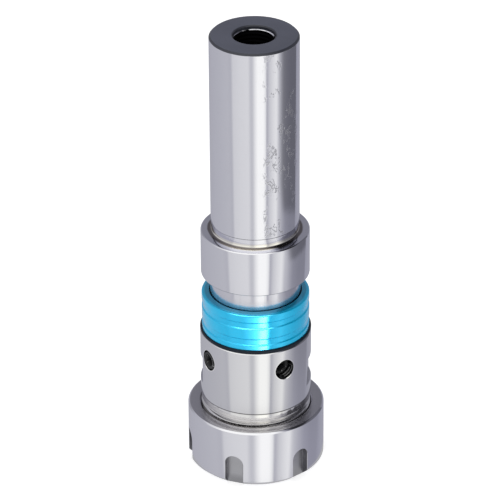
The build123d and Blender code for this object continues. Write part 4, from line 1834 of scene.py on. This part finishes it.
    @staticmethod
    def stage_for_reflections(
        name: str,
        mesh: bpy.types.Mesh,
        shader: FinishNodes,
        receivers: Optional[bpy.types.Collection] = None,
    ) -> None:
        """Put a mesh on the stage that only reflections see, or only those in some objects."""
        mesh.materials.append(shader.material)
        screen = new_object(name, mesh)
        screen.visible_camera = False
        screen.visible_diffuse = False
        screen.visible_shadow = False
        screen.visible_transmission = False
        if receivers is not None:
            screen.light_linking.receiver_collection = receivers

    def curved_screen(
        self, name: str, reach: float, turns: tuple[float, float], levels: tuple[float, float]
    ) -> bpy.types.Mesh:
        """A curved screen round the chuck.

        Args:
            name: The screen's name.
            reach: Its radius, in millimetres.
            turns: Where it starts and ends, in degrees to the right of the camera.
            levels: Its lower and upper edge, in millimetres.

        Returns:
            The screen's mesh.
        """
        spots = []
        for step in range(SCREEN_STEPS + 1):
            part = (turns[1] - turns[0]) * step / SCREEN_STEPS
            turn = math.radians(self.camera_turn - 90 + turns[0] + part)
            for level in levels:
                spots.append(Vector((reach * math.cos(turn), reach * math.sin(turn), level)) * MM)
        faces = [(2 * step, 2 * step + 2, 2 * step + 3, 2 * step + 1) for step in range(SCREEN_STEPS)]
        mesh = bpy.data.meshes.new(name)
        mesh.from_pydata(spots, [], faces)
        return mesh

    def veil(self, name: str, cover: Value, brightness: float, adds: bool = False) -> None:
        """Let a material shine at a brightness where it covers, and be clear elsewhere.

        Args:
            name: What shines.
            cover: Where it covers, from 0 to 1.
            brightness: How bright it is there.
            adds: Whether what lies behind it still shows through it.
        """
        nodes = cover.nodes
        clear = nodes.add("ShaderNodeBsdfTransparent")
        glow = nodes.add("ShaderNodeEmission", None, {"Color": (1, 1, 1, 1), "Strength": brightness})
        if adds:
            glow = nodes.add("ShaderNodeAddShader", None, {0: clear.outputs[0], 1: glow.outputs[0]})
        mixed = nodes.add("ShaderNodeMixShader", None, {0: cover, 1: clear.outputs[0], 2: glow.outputs[0]})
        nodes.replace_shader(mixed)
        log.info("%s shines at %.1f", name, brightness)

    def build_film(self) -> None:
        """A grey film at the right, thicker towards its top."""
        nodes = FinishNodes("grey film")
        start = self.camera_turn - 90 + 64
        thickness = nodes.z.between(-80, 5) * 0.2 + nodes.z.between(14, 22) * 0.34
        edge = (nodes.clock + nodes.z.between(15, 40) * 7).between(start, start + 20)
        self.veil("film", thickness * edge, 0.0)
        mesh = self.curved_screen("grey_film", self.film_reach, self.film_turns, self.film_heights)
        self.stage_for_reflections("grey_film", mesh, nodes)

    def build_ring_lights(self, ring: bpy.types.Object) -> None:
        """Two strips that only the blue ring sees: one for its glint and one for its bright edges."""
        receivers = bpy.data.collections.new("ring_receivers")
        receivers.objects.link(ring)
        start = self.camera_turn - 90
        nodes = FinishNodes("glint strip")
        rise = nodes.clock.between(start - 24, start + 4) * 0.2
        rise = rise + nodes.clock.between(start + 1, start + 12) * 0.8
        cover = rise * (1 - nodes.clock.between(start + 17, start + 24))
        self.veil("glint", cover, self.glint_level, adds=True)
        mesh = self.curved_screen("glint_strip", self.strip_reach, self.glint_turns, self.glint_heights)
        self.stage_for_reflections("glint_strip", mesh, nodes, receivers)
        nodes = FinishNodes("edge light strip")
        fall = 1 - nodes.clock.between(start + 26, start + 40)
        cover = nodes.clock.between(start - 62, start - 48) * fall
        self.veil("edge light", cover, self.edge_light_level, adds=True)
        turns, heights = self.edge_light_turns, self.edge_light_heights
        mesh = self.curved_screen("edge_light_strip", self.strip_reach, turns, heights)
        self.stage_for_reflections("edge_light_strip", mesh, nodes, receivers)

    def build_foot_paper(self) -> None:
        """The paper right under the nut, which its foot chamfer reflects."""
        nodes = FinishNodes("foot paper")
        self.veil("foot paper", nodes.inside(nodes.radius, self.foot_paper_radius), self.foot_paper_level)
        half = 1.2 * self.foot_paper_radius
        mesh = bpy.data.meshes.new("foot_paper")
        corners = [(-half, -half), (half, -half), (half, half), (-half, half)]
        mesh.from_pydata([Vector((x, y, -0.1)) * MM for x, y in corners], [], [(0, 1, 2, 3)])
        self.stage_for_reflections("foot_paper", mesh, nodes)

    def build_key(self) -> None:
        """A wide soft light overhead that draws the faint shadow on the paper."""
        light = bpy.data.lights.new("overhead_softbox", "AREA")
        light.shape = "RECTANGLE"
        light.size = self.key_size[0] * MM
        light.size_y = self.key_size[1] * MM
        light.energy = self.key_energy
        lamp = bpy.data.objects.new("overhead_softbox", light)
        lamp.location = [part * MM for part in self.key_place]
        lamp.rotation_euler = (0.0, math.radians(self.key_tilt), 0.0)
        lamp.visible_glossy = False
        bpy.context.scene.collection.objects.link(lamp)

    def build_camera(self) -> None:
        """The camera at the photograph's place and angle."""
        camera = bpy.data.cameras.new("view_camera")
        camera.lens = self.lens
        camera.sensor_width = self.sensor_width
        camera.clip_start = self.clip_start
        camera.clip_end = self.clip_end
        viewer = bpy.data.objects.new("view_camera", camera)
        turn = Matrix.Rotation(math.radians(self.camera_turn), 4, "Z")
        tilt = Matrix.Rotation(math.radians(90 - self.camera_pitch), 4, "X")
        roll = Matrix.Rotation(math.radians(self.camera_roll), 4, "Z")
        viewer.matrix_world = Matrix.Translation(Vector(self.camera_place) * MM) @ turn @ tilt @ roll
        bpy.context.scene.collection.objects.link(viewer)
        bpy.context.scene.camera = viewer

    def build(self) -> None:
        """Build the whole studio."""
        bpy.context.scene.view_settings.view_transform = "Standard"
        self.build_camera()
        self.build_world()
        self.build_floor()
        self.build_film()
        self.build_foot_paper()
        self.build_key()
        log.info("studio ready")


def main() -> None:
    """Load the frame and build every piece on it."""
    logging.basicConfig(level=logging.INFO, format="%(message)s")
    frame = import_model()
    studio = Studio()
    studio.build()
    bench = Bench(Dresser(Finishes()), RoundCutTree(), ThreadTree())
    grooves = BallGrooves()
    screws = SideScrews()
    head = ChuckHead()
    FloatingShank().build(bench, grooves)
    head.build(bench, screws, grooves)
    screws.build(bench, head.barrel_radius)
    ClampingNut().build(bench)
    studio.build_ring_lights(CoverSleeve().build(bench))
    LimitBolt().build(bench)
    HiddenPieces(frame["nodes"]).build(bench)


if __name__ == "__main__":
    main()
